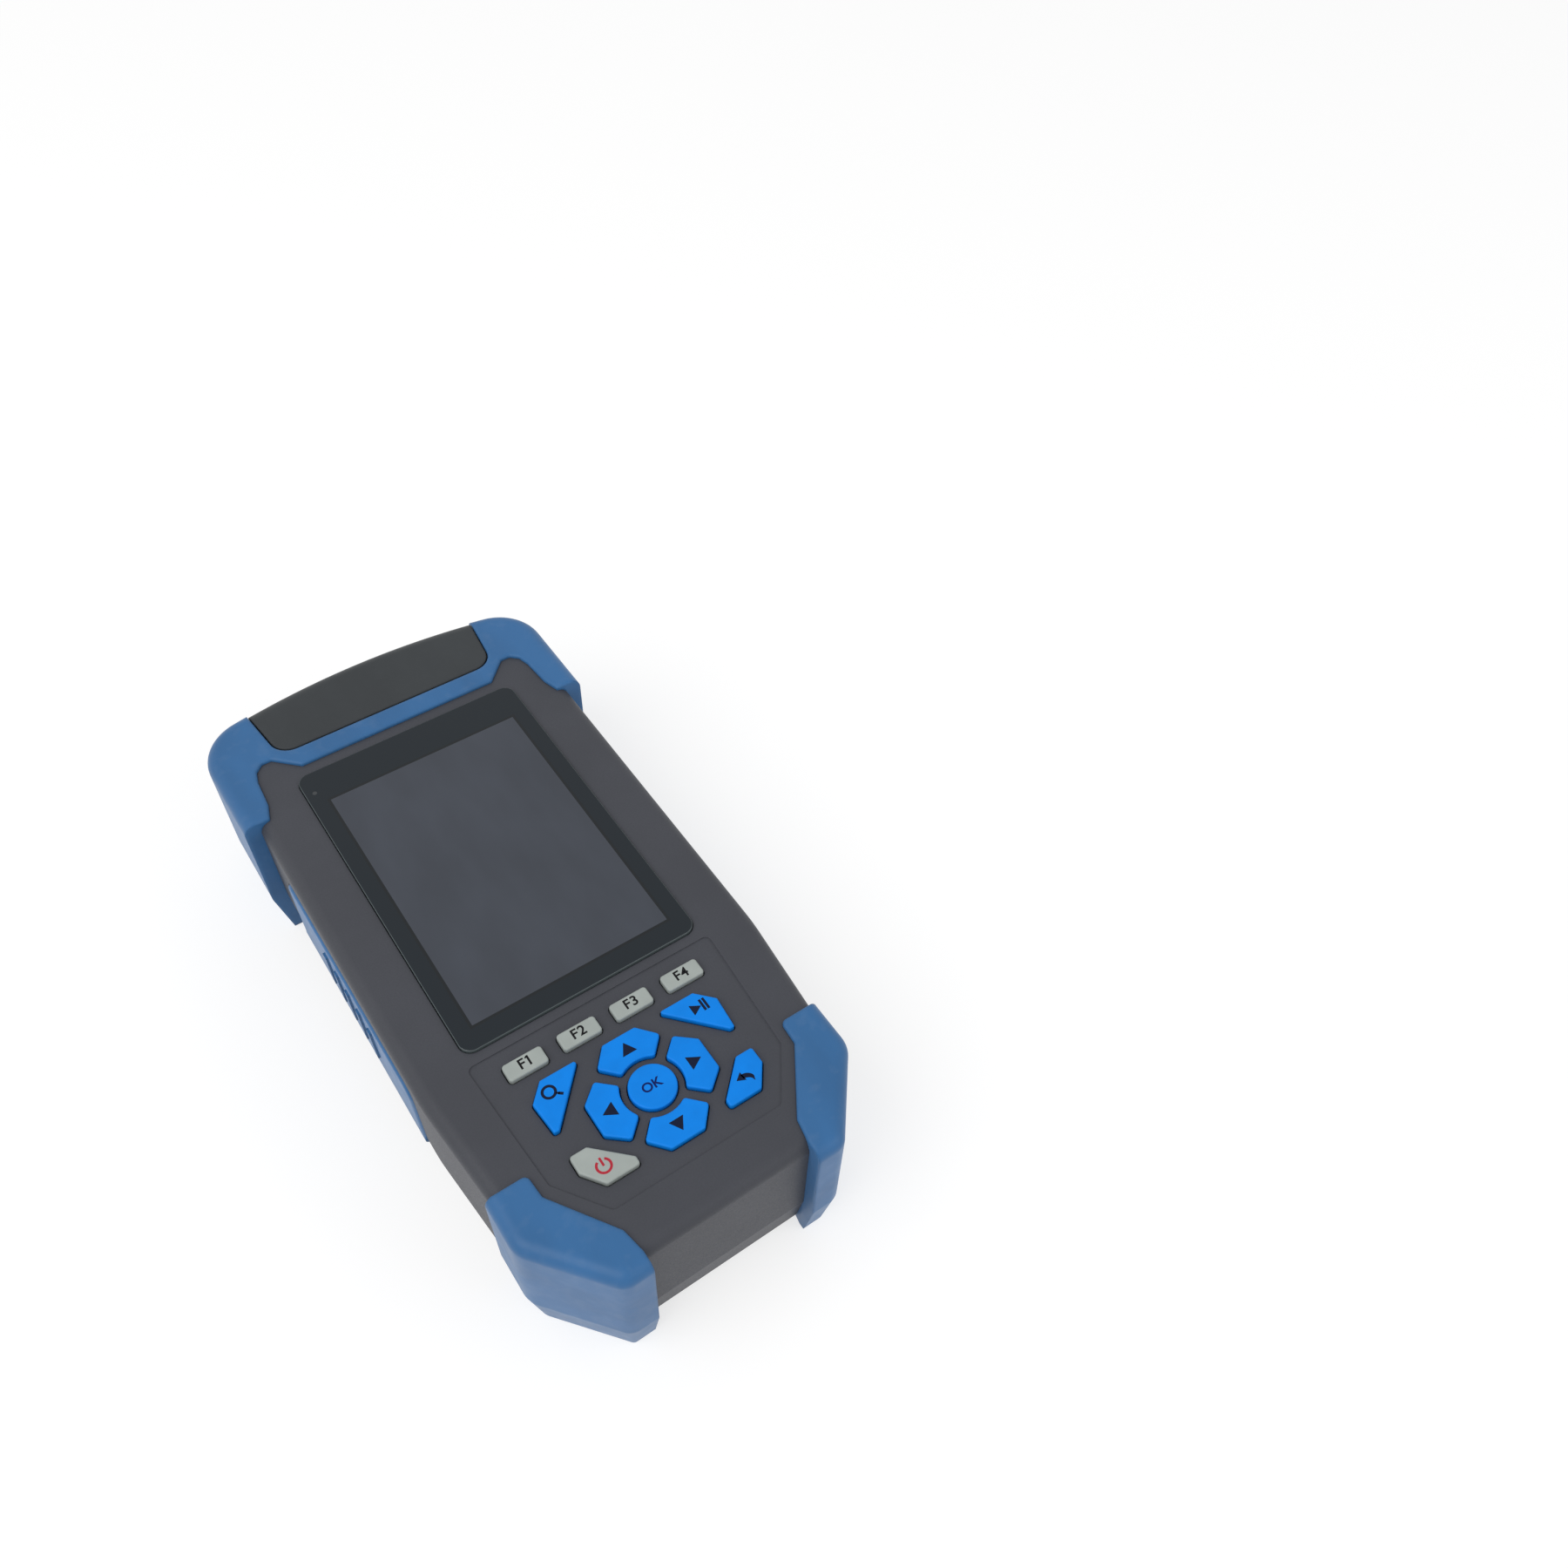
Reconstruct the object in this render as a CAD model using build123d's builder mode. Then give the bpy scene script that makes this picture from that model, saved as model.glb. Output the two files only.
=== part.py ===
from build123d import *
from math import sqrt
import os

# Handheld optical time domain reflectometer, lying on its back.
# +X is to the right, +Y towards the connector end, +Z out of the screen. Millimetres.
# The origin is the middle of the footprint, on the surface that it lies on.
# Heights are from that surface. The head hangs on the top edge of the screen lens and the
# keypad on its bottom edge, so a longer screen moves both.

os.makedirs("parts", exist_ok=True)

# Overall body
crown_radius = 184.0
screen_to_crown = 30.5
screen_side = 12.7
head_overhang = 3.8
foot_inset = 2.4
rear_z = 1.0
parting_z = 20.5
front_height = 21.9
bevel_drop = 6.5
bevel_angle = 10.0
wall = 2.4
front_plate = 3.0
rear_plate = 3.0
front_edge_round = 3.2
rear_edge_round = 1.2
taper_start = 53.5
taper_length = 28.0
waist_round = 60.0
crown_corner_round = 10.0
head_corner_round = 13.0
foot_corner_length = 15.2
foot_corner_width = 12.3
foot_corner_round = 6.0

# Rubber bumpers
seat_depth = 1.0
bumper_rise = 1.0
bumper_side = 1.2
crown_rubber = 2.0
end_face_recess = 3.5
bumper_edge_round = 0.6
leg_length = 8.2
foot_bumper_length = 30.5
foot_bumper_width = 19.9
foot_corner_shift = (1.1, 0.5)
foot_rubber_round = 7.0
foot_toe_round = 4.0
region_overrun = 15.0
leg_round = 1.0
foot_region_round = 1.4
notch_round = 0.8
notch_start = 1.2

# Screen
lens_width = 59.0
lens_length = 91.4
lens_thick = 1.8
lens_rise = 0.8
lens_round = 3.0
lens_clearance = 0.15
gasket_thick = 0.3
window_side = 3.0
window_end = 6.45
window_drop = 2.5
display_side = 1.5
display_end = 2.75
display_thick = 4.2
display_round = 1.0
window_round = 1.5
lens_edge_round = 0.3

# Keypad
keypad_depth = 0.3
key_rise = 1.25
key_travel = 0.8
key_clearance = 0.25
key_lip = 0.6
key_lip_gap = 0.3
key_stop_gap = 0.1
key_corner = 0.8
key_edge_round = 0.45
function_key_count = 4
function_key_width = 9.4
function_key_length = 4.4
function_key_margin = 5.1
function_key_drop = 6.5
ring_gap = 3.2
ring_to_foot = 18.8
round_key_radius = 5.3
arrow_inner_radius = 7.1
arrow_radius = 14.2
membrane_thick = 0.7
membrane_rim = 1.2
membrane_lift = 0.5
dome_radius = 2.4
membrane_inset = 2.0
dome_height = 0.4
dome_slope = 30.0
upper_corner_round = 0.45
lower_corner_round = 0.7
recess_round = 1.5
recess_side = 1.1
recess_drop = 2.6
recess_taper = 2.0
recess_waist = 6.7
recess_corner = 10.2
recess_foot = 4.25

# Circuit board and what hangs from it
board_thick = 1.6
board_side = 0.5
board_head = 1.7
board_foot = 1.9
board_corner = 4.0
engine_head = 2.7
engine_battery_gap = 3.5
engine_jack_gap = 5.3
engine_boss_gap = 1.5
engine_thick = 12.0
engine_round = 1.5
outlet_pitch = 13.0
outlet_size = 5.0
outlet_length = 6.0
spool_head = 1.7
spool_radius = 22.0
spool_thick = 6.0
spool_rim = 1.0
spool_hub_radius = 13.0
spool_hub_wall = 2.0

# Connector bay and cap
cap_side_low = 12.9
cap_side_high = 11.0
cap_rise = 9.7
cap_flare_end = 4.2
cap_round = 5.0
cap_gap = 0.35
cap_drop = 0.2
cap_side_ledge = 1.2
cap_low_ledge = 2.1
cap_lip_rise = 1.0
bay_floor_rise = 2.0
cap_plate = 2.2
cap_end_plate = 2.4
cap_edge_round = 4.0
cap_axis_inset = 4.0
cap_axis_drop = 2.5
knuckle_radius = 2.1
hinge_step_drop = 6.5
hinge_step_depth = 2.6
knuckle_inset = 5.2
knuckle_width = 8.0
middle_knuckle_half = 5.0
lug_width = 8.7
lug_seat = 0.5
web_thick = 3.5
cap_pin_radius = 1.0
running_gap = 0.06
knuckle_gap = 0.3
port_pitch = 18.0
port_rise = 8.0
port_flange = 9.6
port_flange_thick = 1.6
port_barrel_radius = 3.6
port_barrel_length = 9.5
port_flange_round = 1.0
port_hole_radius = 3.2
port_tail_radius = 3.0
sleeve_radius = 1.25
sleeve_length = 8.0

# Left side ports and their cover
cover_middle = -9.0
cover_axis_drop = 8.1
cover_top_drop = 7.0
cover_thick = 2.9
cover_rise = 0.5
cover_gap = 0.3
cover_heel_gap = 0.5
cover_round = 4.0
cover_edge_round = 1.0
rib_count = 5
rib_pitch = 6.0
rib_width = 2.0
rib_rise = 0.5
rib_low = 7.0
rib_high = 5.0
cover_pin_radius = 0.6
pin_seat = 2.0
panel_thick = 2.2
panel_reach = 3.0
panel_overlap = 1.2
panel_end_gap = 1.0
port_ledge = 3.0
jack_width = 16.0
jack_height = 13.5
jack_depth = 20.0
jack_mouth_width = 11.7
jack_mouth_height = 7.6
jack_mouth_depth = 13.0
jack_floor = 1.3
latch_height = 2.2
latch_half = 3.2
jack_pitch = 19.0
jack_start = 15.0
usb_pitch = 17.0
usb_end = 17.0
usb_width = 9.4
usb_height = 6.0
usb_depth = 8.0
usb_mouth_width = 8.6
usb_mouth_height = 2.6
usb_mouth_drop = 4.0
usb_round = 1.2
usb_back = 1.5
jack_gap = 0.2

# Battery, its door and the kickstand
cell_length = 66.0
cell_count = 2
cell_jack_gap = 0.4
battery_gap = 0.4
battery_spool_gap = 4.5
bay_wall = 1.6
bay_jack_gap = 3.1
cell_lift = 0.3
sleeve_dip = 1.2
door_thick = 1.8
door_gap = 0.2
door_ledge = 2.4
door_end = 6.0
door_round = 2.0
stand_side = 8.0
stand_door_gap = 3.6
stand_thick = 3.0
stand_gap = 0.3
stand_head = 2.2
stand_pin_radius = 0.9
stand_pin_length = 2.5
stand_window = 26.0
stand_frame = 8.0
stand_window_round = 3.0
stand_depth = 0.2
stand_pad = 5.0
finger_gap = 1.0

# Screws
side_screw_inset = 9.2
upper_screw_drop = 11.7
lower_screw_drop = 6.3
end_screw_gap = 7.4
end_screw_inset = 7.5
screw_radius = 1.5
screw_head_radius = 2.8
screw_head_height = 2.0
screw_length = 16.0
boss_radius = 3.0
well_wall = 1.0
head_clearance = 0.3
board_clearance = 0.5
screw_well = 7.0
door_screw_radius = 1.0
door_screw_head_radius = 1.8
door_screw_head_height = 1.0
door_screw_length = 5.0
door_boss_radius = 2.4

# Places worked out from the sizes above
function_to_ring = function_key_length + ring_gap + arrow_radius
keypad_length = function_key_drop + function_to_ring + arrow_radius + ring_to_foot
body_length = screen_to_crown + lens_length + keypad_length
waist_half = lens_width / 2 + screen_side
head_half = waist_half + head_overhang
foot_half = waist_half - foot_inset
crown_y = body_length / 2
foot_y = -body_length / 2
end_y = foot_y + end_face_recess
screen_top_y = crown_y - screen_to_crown
screen_low_y = screen_top_y - lens_length
screen_y = (screen_top_y + screen_low_y) / 2
function_top_y = screen_low_y - function_key_drop
ring_y = function_top_y - function_to_ring
ring_low_y = ring_y - arrow_radius
housing_top = crown_y - crown_rubber
front_z = parting_z + front_height
bevel_z = parting_z - bevel_drop
cavity_inset = wall + seat_depth
panel_z = front_z - front_plate
floor_z = rear_z + rear_plate
recess_z = front_z - keypad_depth
top_z = front_z + bumper_rise
board_top_z = panel_z - display_thick
board_z = board_top_z - board_thick
bay_floor_z = parting_z + bay_floor_rise
side_cavity_x = waist_half - cavity_inset
jack_back_x = side_cavity_x - jack_depth
foot_corner_y = end_y + foot_corner_length
foot_corner_x = foot_half - foot_corner_width


def arc_edge(half, top):
    """Y of the crown's arc at the distance half from the middle line."""
    return top - crown_radius + sqrt(crown_radius**2 - half**2)


def save(piece, name):
    piece.part.label = name
    export_step(piece.part, f"parts/{name}.step")


def both_sides(points):
    """A closed chain of points: the right side as given, then its mirror image."""
    return points + [(-x, y) for x, y in reversed(points)]


def polygon_plan(points, corner=0.0):
    with BuildSketch() as plan:
        with BuildLine():
            Polyline(*points, close=True)
        make_face()
        if corner:
            fillet(plan.vertices(), corner)
    return plan.sketch


def crowned_plan(side_points, top, top_round):
    """A plan under the crown's arc. side_points run from the arc down the right side to the bottom."""
    top_x = side_points[0][0]
    edge_y = arc_edge(top_x, top)
    side = [(top_x, edge_y)] + side_points[1:]
    with BuildSketch() as plan:
        with BuildLine():
            Polyline(*both_sides(side))
            ThreePointArc((-top_x, edge_y), (0, top), (top_x, edge_y))
        make_face()
        fillet(plan.vertices().group_by(Axis.Y)[-1], top_round)
    return plan


def bevelled_block(plan, grow, low_z, high_z, front_round):
    """A slab on a plan, with a rounded front edge and the sides drawn in below the bevel line."""
    with BuildPart() as block:
        with BuildSketch(Plane.XY.offset(bevel_z)):
            add(plan)
            if grow:
                offset(amount=grow)
        extrude(amount=high_z - bevel_z)
        if front_round:
            fillet(block.faces().sort_by(Axis.Z)[-1].edges(), front_round)
        with BuildSketch(Plane.XY.offset(bevel_z)):
            add(plan)
            if grow:
                offset(amount=grow)
        extrude(amount=low_z - bevel_z, taper=bevel_angle)
    return block.part


def prism(plan, low_z, high_z):
    with BuildPart() as block:
        with BuildSketch(Plane.XY.offset(low_z)):
            add(plan)
        extrude(amount=high_z - low_z)
    return block.part


def block_between(x_low, x_high, y_low, y_high, z_low, z_high, mode=Mode.ADD):
    """A plain block given by its sides, for cuts and ledges."""
    with Locations(((x_low + x_high) / 2, (y_low + y_high) / 2, (z_low + z_high) / 2)):
        Box(x_high - x_low, y_high - y_low, z_high - z_low, mode=mode)


# Plans of the housing, of the rubber round its head, and of the rubber round its foot
housing_side = [
    (waist_half, 0),
    (waist_half, end_y + taper_start),
    (foot_half, end_y + taper_start - taper_length),
    (foot_half, foot_corner_y),
    (foot_corner_x, end_y),
]
housing_sketch = crowned_plan(housing_side, housing_top, crown_corner_round)
with BuildSketch() as housing_plan:
    add(housing_sketch.sketch)
    for row in (housing_side[1][1], housing_side[2][1]):
        fillet([v for v in housing_plan.vertices() if abs(v.Y - row) < 0.01], waist_round)
    fillet([v for v in housing_plan.vertices() if abs(v.Y - foot_corner_y) < 0.01], foot_corner_round)

leg_end_y = screen_top_y - leg_length
head_side = [(head_half, 0), (head_half, leg_end_y - region_overrun)]
head_plan = crowned_plan(head_side, crown_y, head_corner_round)

foot_out = foot_half + bumper_side
foot_side = [
    (foot_out, 0),
    (foot_out, foot_corner_y - foot_corner_shift[1]),
    (foot_corner_x - foot_corner_shift[0], foot_y),
]
foot_sketch = crowned_plan(foot_side, crown_y, crown_corner_round)
with BuildSketch() as foot_plan:
    add(foot_sketch.sketch)
    fillet([v for v in foot_plan.vertices() if abs(v.Y - foot_side[1][1]) < 0.01], foot_rubber_round)
    fillet(foot_plan.vertices().group_by(Axis.Y)[0], foot_toe_round)

housing_block = bevelled_block(housing_plan.sketch, 0, rear_z, front_z, front_edge_round)
core_block = bevelled_block(housing_plan.sketch, -seat_depth, rear_z + seat_depth, front_z - seat_depth, 0)
head_block = bevelled_block(head_plan.sketch, 0, 0, top_z, front_edge_round)
foot_block = bevelled_block(foot_plan.sketch, 0, 0, top_z, front_edge_round)

# What the head bumper covers, seen from the front: two legs and a band round the cap's window.
# The notch's points are given inwards from the waist and upwards from the lens's top edge.
notch_points = [
    (2.5, -leg_length - region_overrun),
    (2.5, -leg_length - notch_start),
    (4.3, -3.7),
    (4.9, 4.3),
    (5.8, 7.5),
    (7.8, 9.3),
    (10.2, 9.3),
    (16.0, 3.6),
]
notch_side = [(waist_half - x, screen_top_y + y) for x, y in notch_points]
notch_plan = polygon_plan(both_sides(notch_side), notch_round)
cap_half_high = waist_half - cap_side_high
cap_half_low = waist_half - cap_side_low
cap_low_y = screen_top_y + cap_rise
window_points = [
    (cap_half_high, crown_y + region_overrun),
    (cap_half_high, crown_y - cap_flare_end),
    (cap_half_low, cap_low_y),
]
with BuildSketch() as cap_plan:
    add(polygon_plan(both_sides(window_points)))
    fillet(cap_plan.vertices().group_by(Axis.Y)[0], cap_round)
with BuildSketch() as cap_window:
    add(cap_plan.sketch)
    offset(amount=cap_gap)
with BuildSketch() as head_region:
    with Locations((0, leg_end_y)):
        Rectangle(2 * (head_half + region_overrun), crown_y - leg_end_y, align=(Align.CENTER, Align.MIN))
    fillet(head_region.vertices().group_by(Axis.Y)[0], leg_round)
    add(notch_plan, mode=Mode.SUBTRACT)
    add(cap_window.sketch, mode=Mode.SUBTRACT)

# The foot bumpers' points are given inwards from the foot's side and upwards from the foot
foot_points = [
    (-region_overrun, foot_bumper_length),
    (8.5, foot_bumper_length),
    (8.9, 24.7),
    (18.8, 9.8),
    (foot_bumper_width, 4.0),
    (foot_bumper_width, -region_overrun),
    (-region_overrun, -region_overrun),
]
foot_side_points = [(foot_half - x, foot_y + y) for x, y in foot_points]
right_foot_region = polygon_plan(foot_side_points, foot_region_round)
left_foot_region = right_foot_region.mirror(Plane.YZ)


def bumper(region, outer):
    """Rubber that covers a region of the housing's skin, front, side and back."""
    with BuildPart() as piece:
        add(prism(region, -1, top_z))
        fillet(piece.faces().sort_by(Axis.Z)[-1].edges(), bumper_edge_round)
        add(outer, mode=Mode.INTERSECT)
        add(core_block, mode=Mode.SUBTRACT)
    return piece


head_bumper = bumper(head_region.sketch, head_block)
save(head_bumper, "head_bumper")
foot_bumper_right = bumper(right_foot_region, foot_block)
save(foot_bumper_right, "foot_bumper_right")
foot_bumper_left = bumper(left_foot_region, foot_block)
save(foot_bumper_left, "foot_bumper_left")

# The seat that all three bumpers leave in the housing's skin
with BuildPart() as seat_cut:
    for region in (head_region.sketch, right_foot_region, left_foot_region):
        add(prism(region, rear_z - 1, front_z + 1))
    add(core_block, mode=Mode.SUBTRACT)

# Key outlines. The ring of keys is drawn about its own middle.
arrow_corner_x = 4.05
arrow_shoulder = (7.8, 9.8)
arrow_foot = sqrt(arrow_inner_radius**2 - arrow_corner_x**2)
with BuildSketch() as arrow_plan:
    with BuildLine():
        Polyline(
            (arrow_corner_x, arrow_foot),
            arrow_shoulder,
            (arrow_corner_x, arrow_radius),
            (-arrow_corner_x, arrow_radius),
            (-arrow_shoulder[0], arrow_shoulder[1]),
            (-arrow_corner_x, arrow_foot),
        )
        ThreePointArc((-arrow_corner_x, arrow_foot), (0, arrow_inner_radius), (arrow_corner_x, arrow_foot))
    make_face()
    fillet(arrow_plan.vertices(), key_corner)
with BuildSketch() as round_plan:
    Circle(round_key_radius)
with BuildSketch() as function_plan:
    RectangleRounded(function_key_width, function_key_length, key_corner)
upper_corner_points = [
    (10.9, 14.35),
    (19.15, 14.35),
    (23.0, 10.25),
    (22.35, 2.2),
    (21.15, 2.2),
    (10.6, 13.75),
]
lower_corner_points = [
    (18.4, -4.05),
    (22.5, -4.05),
    (22.5, -8.25),
    (18.85, -13.3),
    (11.0, -13.3),
    (11.0, -11.4),
]
upper_right_plan = polygon_plan(upper_corner_points, upper_corner_round)
lower_right_plan = polygon_plan(lower_corner_points, lower_corner_round)


def placed(plan, x, y, turn=0):
    with BuildSketch() as sketch:
        with Locations((x, y)):
            add(plan, rotation=turn)
    return sketch.sketch


function_y = function_top_y - function_key_length / 2
function_keys_span = lens_width - 2 * function_key_margin - function_key_width
function_key_pitch = function_keys_span / (function_key_count - 1)
key_plans = {
    "key_up": placed(arrow_plan.sketch, 0, ring_y, 0),
    "key_left": placed(arrow_plan.sketch, 0, ring_y, 90),
    "key_down": placed(arrow_plan.sketch, 0, ring_y, 180),
    "key_right": placed(arrow_plan.sketch, 0, ring_y, 270),
    "key_ok": placed(round_plan.sketch, 0, ring_y),
    "key_search": placed(upper_right_plan.mirror(Plane.YZ), 0, ring_y),
    "key_play": placed(upper_right_plan, 0, ring_y),
    "key_power": placed(lower_right_plan.mirror(Plane.YZ), 0, ring_y),
    "key_back": placed(lower_right_plan, 0, ring_y),
}
for number in range(function_key_count):
    key_x = number * function_key_pitch - function_keys_span / 2
    key_plans[f"key_f{number + 1}"] = placed(function_plan.sketch, key_x, function_y)

key_top_z = recess_z + key_rise
lip_top_z = panel_z - key_lip_gap
membrane_top_z = board_top_z + membrane_lift + membrane_thick
key_foot_z = membrane_top_z + key_travel + key_stop_gap


def make_key(plan):
    """A key cap with a lip that holds it under the panel."""
    with BuildPart() as key:
        with BuildSketch(Plane.XY.offset(key_foot_z)):
            add(plan)
            offset(amount=key_lip)
        extrude(amount=lip_top_z - key_foot_z)
        with BuildSketch(Plane.XY.offset(key_foot_z)):
            add(plan)
        extrude(amount=key_top_z - key_foot_z)
        fillet(key.faces().sort_by(Axis.Z)[-1].edges(), key_edge_round)
    return key


for name, plan in key_plans.items():
    save(make_key(plan), name)

# Keypad recess: a shallow floor round all the keys
recess_half = lens_width / 2 + recess_side
recess_points = [
    (recess_half, screen_low_y - recess_drop),
    (recess_half - recess_taper, ring_y - recess_waist),
    (recess_half - recess_corner, ring_low_y - recess_foot),
]
recess_plan = polygon_plan(both_sides(recess_points), recess_round)

# Screw places; the last pair is by the end face
side_screw_x = waist_half - side_screw_inset
end_screw_x = foot_half - foot_bumper_width - end_screw_gap
screw_places = [
    (side_screw_x, screen_top_y - upper_screw_drop),
    (side_screw_x, screen_low_y - lower_screw_drop),
    (end_screw_x, end_y + end_screw_inset),
]
screw_places += [(-x, y) for x, y in screw_places]

# Hinge of the cap and port places
cap_axis_y = crown_y - cap_axis_inset
cap_axis_z = parting_z - cap_axis_drop
bay_back_y = cap_low_y + cap_low_ledge
cap_rest_z = top_z - cap_drop - cap_plate
hinge_ledge_z = cap_axis_z - hinge_step_drop
hinge_wall_y = cap_axis_y - hinge_step_depth
port_places = [-port_pitch, 0.0, port_pitch]
port_z = bay_floor_z + port_rise
knuckle_end = cap_half_high - knuckle_inset
lug_end = knuckle_end - knuckle_width - knuckle_gap
cap_knuckles = [
    (-knuckle_end, knuckle_width - knuckle_end),
    (-middle_knuckle_half, middle_knuckle_half),
    (knuckle_end - knuckle_width, knuckle_end),
]
cap_lugs = [(-lug_end, lug_width - lug_end), (lug_end - lug_width, lug_end)]

# Cavities of the two shells
with BuildSketch() as cavity_plan:
    add(housing_plan.sketch)
    offset(amount=-cavity_inset)
with BuildSketch() as front_cavity_plan:
    add(cavity_plan.sketch)
    with Locations((0, bay_back_y - wall)):
        Rectangle(2 * head_half, body_length, align=(Align.CENTER, Align.MIN), mode=Mode.SUBTRACT)
with BuildSketch() as rear_cavity_plan:
    add(cavity_plan.sketch)
    with Locations((0, hinge_wall_y - wall)):
        Rectangle(2 * head_half, body_length, align=(Align.CENTER, Align.MIN), mode=Mode.SUBTRACT)

# Left port cover: the flap, its recess and the window behind it
cover_length = jack_start + jack_pitch + usb_pitch + usb_end
cover_axis_z = parting_z - cover_axis_drop
cover_top_z = front_z - cover_top_drop
cover_outer_x = waist_half + cover_rise
cover_inner_x = cover_outer_x - cover_thick
cover_knuckle = cover_thick / 2
cover_axis_x = cover_outer_x - cover_knuckle
cover_y = screen_y + cover_middle
cover_height = cover_top_z - cover_axis_z
recess_floor_x = cover_inner_x - cover_gap
recess_low_z = cover_axis_z - cover_knuckle - cover_heel_gap
recess_high_z = cover_top_z + cover_gap
cover_ends = (cover_y - cover_length / 2, cover_y + cover_length / 2)
port_window = (cover_axis_z + port_ledge, cover_top_z - port_ledge)


def grip_ribs(outer_x):
    """Upright ribs on the rubber of one side, half sunk in it."""
    for rib in range(rib_count):
        rib_y = cover_y + (rib - (rib_count - 1) / 2) * rib_pitch
        block_between(
            outer_x - rib_rise, outer_x + rib_rise, rib_y - rib_width / 2, rib_y + rib_width / 2,
            cover_axis_z + rib_low, cover_top_z - rib_high
        )


with BuildPart() as left_port_cover:
    with BuildSketch(Plane.YZ.offset(-cover_inner_x)):
        with Locations((cover_y, cover_axis_z)):
            Rectangle(cover_length, cover_height, align=(Align.CENTER, Align.MIN))
    extrude(amount=-cover_thick)
    fillet(left_port_cover.edges().filter_by(Axis.X).group_by(Axis.Z)[-1], cover_round)
    outer_edges = left_port_cover.faces().sort_by(Axis.X)[0].edges()
    fillet(outer_edges.filter_by(Axis.Y, reverse=True), cover_edge_round)
    with BuildSketch(Plane.XZ.offset(-cover_ends[1])):
        with Locations((-cover_axis_x, cover_axis_z)):
            Circle(cover_knuckle)
    extrude(amount=cover_length)
    grip_ribs(-cover_outer_x)
    with BuildSketch(Plane.XZ.offset(-cover_ends[1])):
        with Locations((-cover_axis_x, cover_axis_z)):
            Circle(cover_pin_radius + running_gap)
    extrude(amount=cover_length, mode=Mode.SUBTRACT)
save(left_port_cover, "left_port_cover")

with BuildPart() as left_cover_pin:
    with BuildSketch(Plane.XZ.offset(-cover_ends[1] - pin_seat)):
        with Locations((-cover_axis_x, cover_axis_z)):
            Circle(cover_pin_radius)
    extrude(amount=cover_length + 2 * pin_seat)
save(left_cover_pin, "left_cover_pin")

with BuildPart() as side_cut:
    block_between(
        -waist_half - region_overrun, -recess_floor_x, cover_ends[0] - cover_gap, cover_ends[1] + cover_gap,
        recess_low_z, recess_high_z
    )
    fillet(side_cut.edges().filter_by(Axis.X).group_by(Axis.Z)[-1], cover_round + cover_gap)
    block_between(
        -waist_half, -side_cavity_x + panel_reach, cover_ends[0] + port_ledge, cover_ends[1] - port_ledge,
        port_window[0], port_window[1]
    )
    with BuildSketch(Plane.XZ.offset(-cover_ends[1] - pin_seat)):
        with Locations((-cover_axis_x, cover_axis_z)):
            Circle(cover_pin_radius + running_gap)
    extrude(amount=cover_length + 2 * pin_seat)

# Right side: a fixed grip inlay in a pocket of the cover's own outline
with BuildPart() as right_side_grip:
    with BuildSketch(Plane.YZ.offset(recess_floor_x)):
        with Locations((cover_y, (recess_low_z + recess_high_z) / 2)):
            RectangleRounded(cover_length, recess_high_z - recess_low_z - 2 * cover_gap, cover_round)
    extrude(amount=cover_outer_x - recess_floor_x)
    fillet(right_side_grip.faces().sort_by(Axis.X)[-1].edges(), cover_edge_round)
    grip_ribs(cover_outer_x)
save(right_side_grip, "right_side_grip")

pocket_length = cover_length + 2 * cover_gap
with BuildPart() as grip_cut:
    with BuildSketch(Plane.YZ.offset(recess_floor_x)):
        with Locations((cover_y, (recess_low_z + recess_high_z) / 2)):
            RectangleRounded(pocket_length, recess_high_z - recess_low_z, cover_round + cover_gap)
    extrude(amount=head_half - recess_floor_x)

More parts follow.
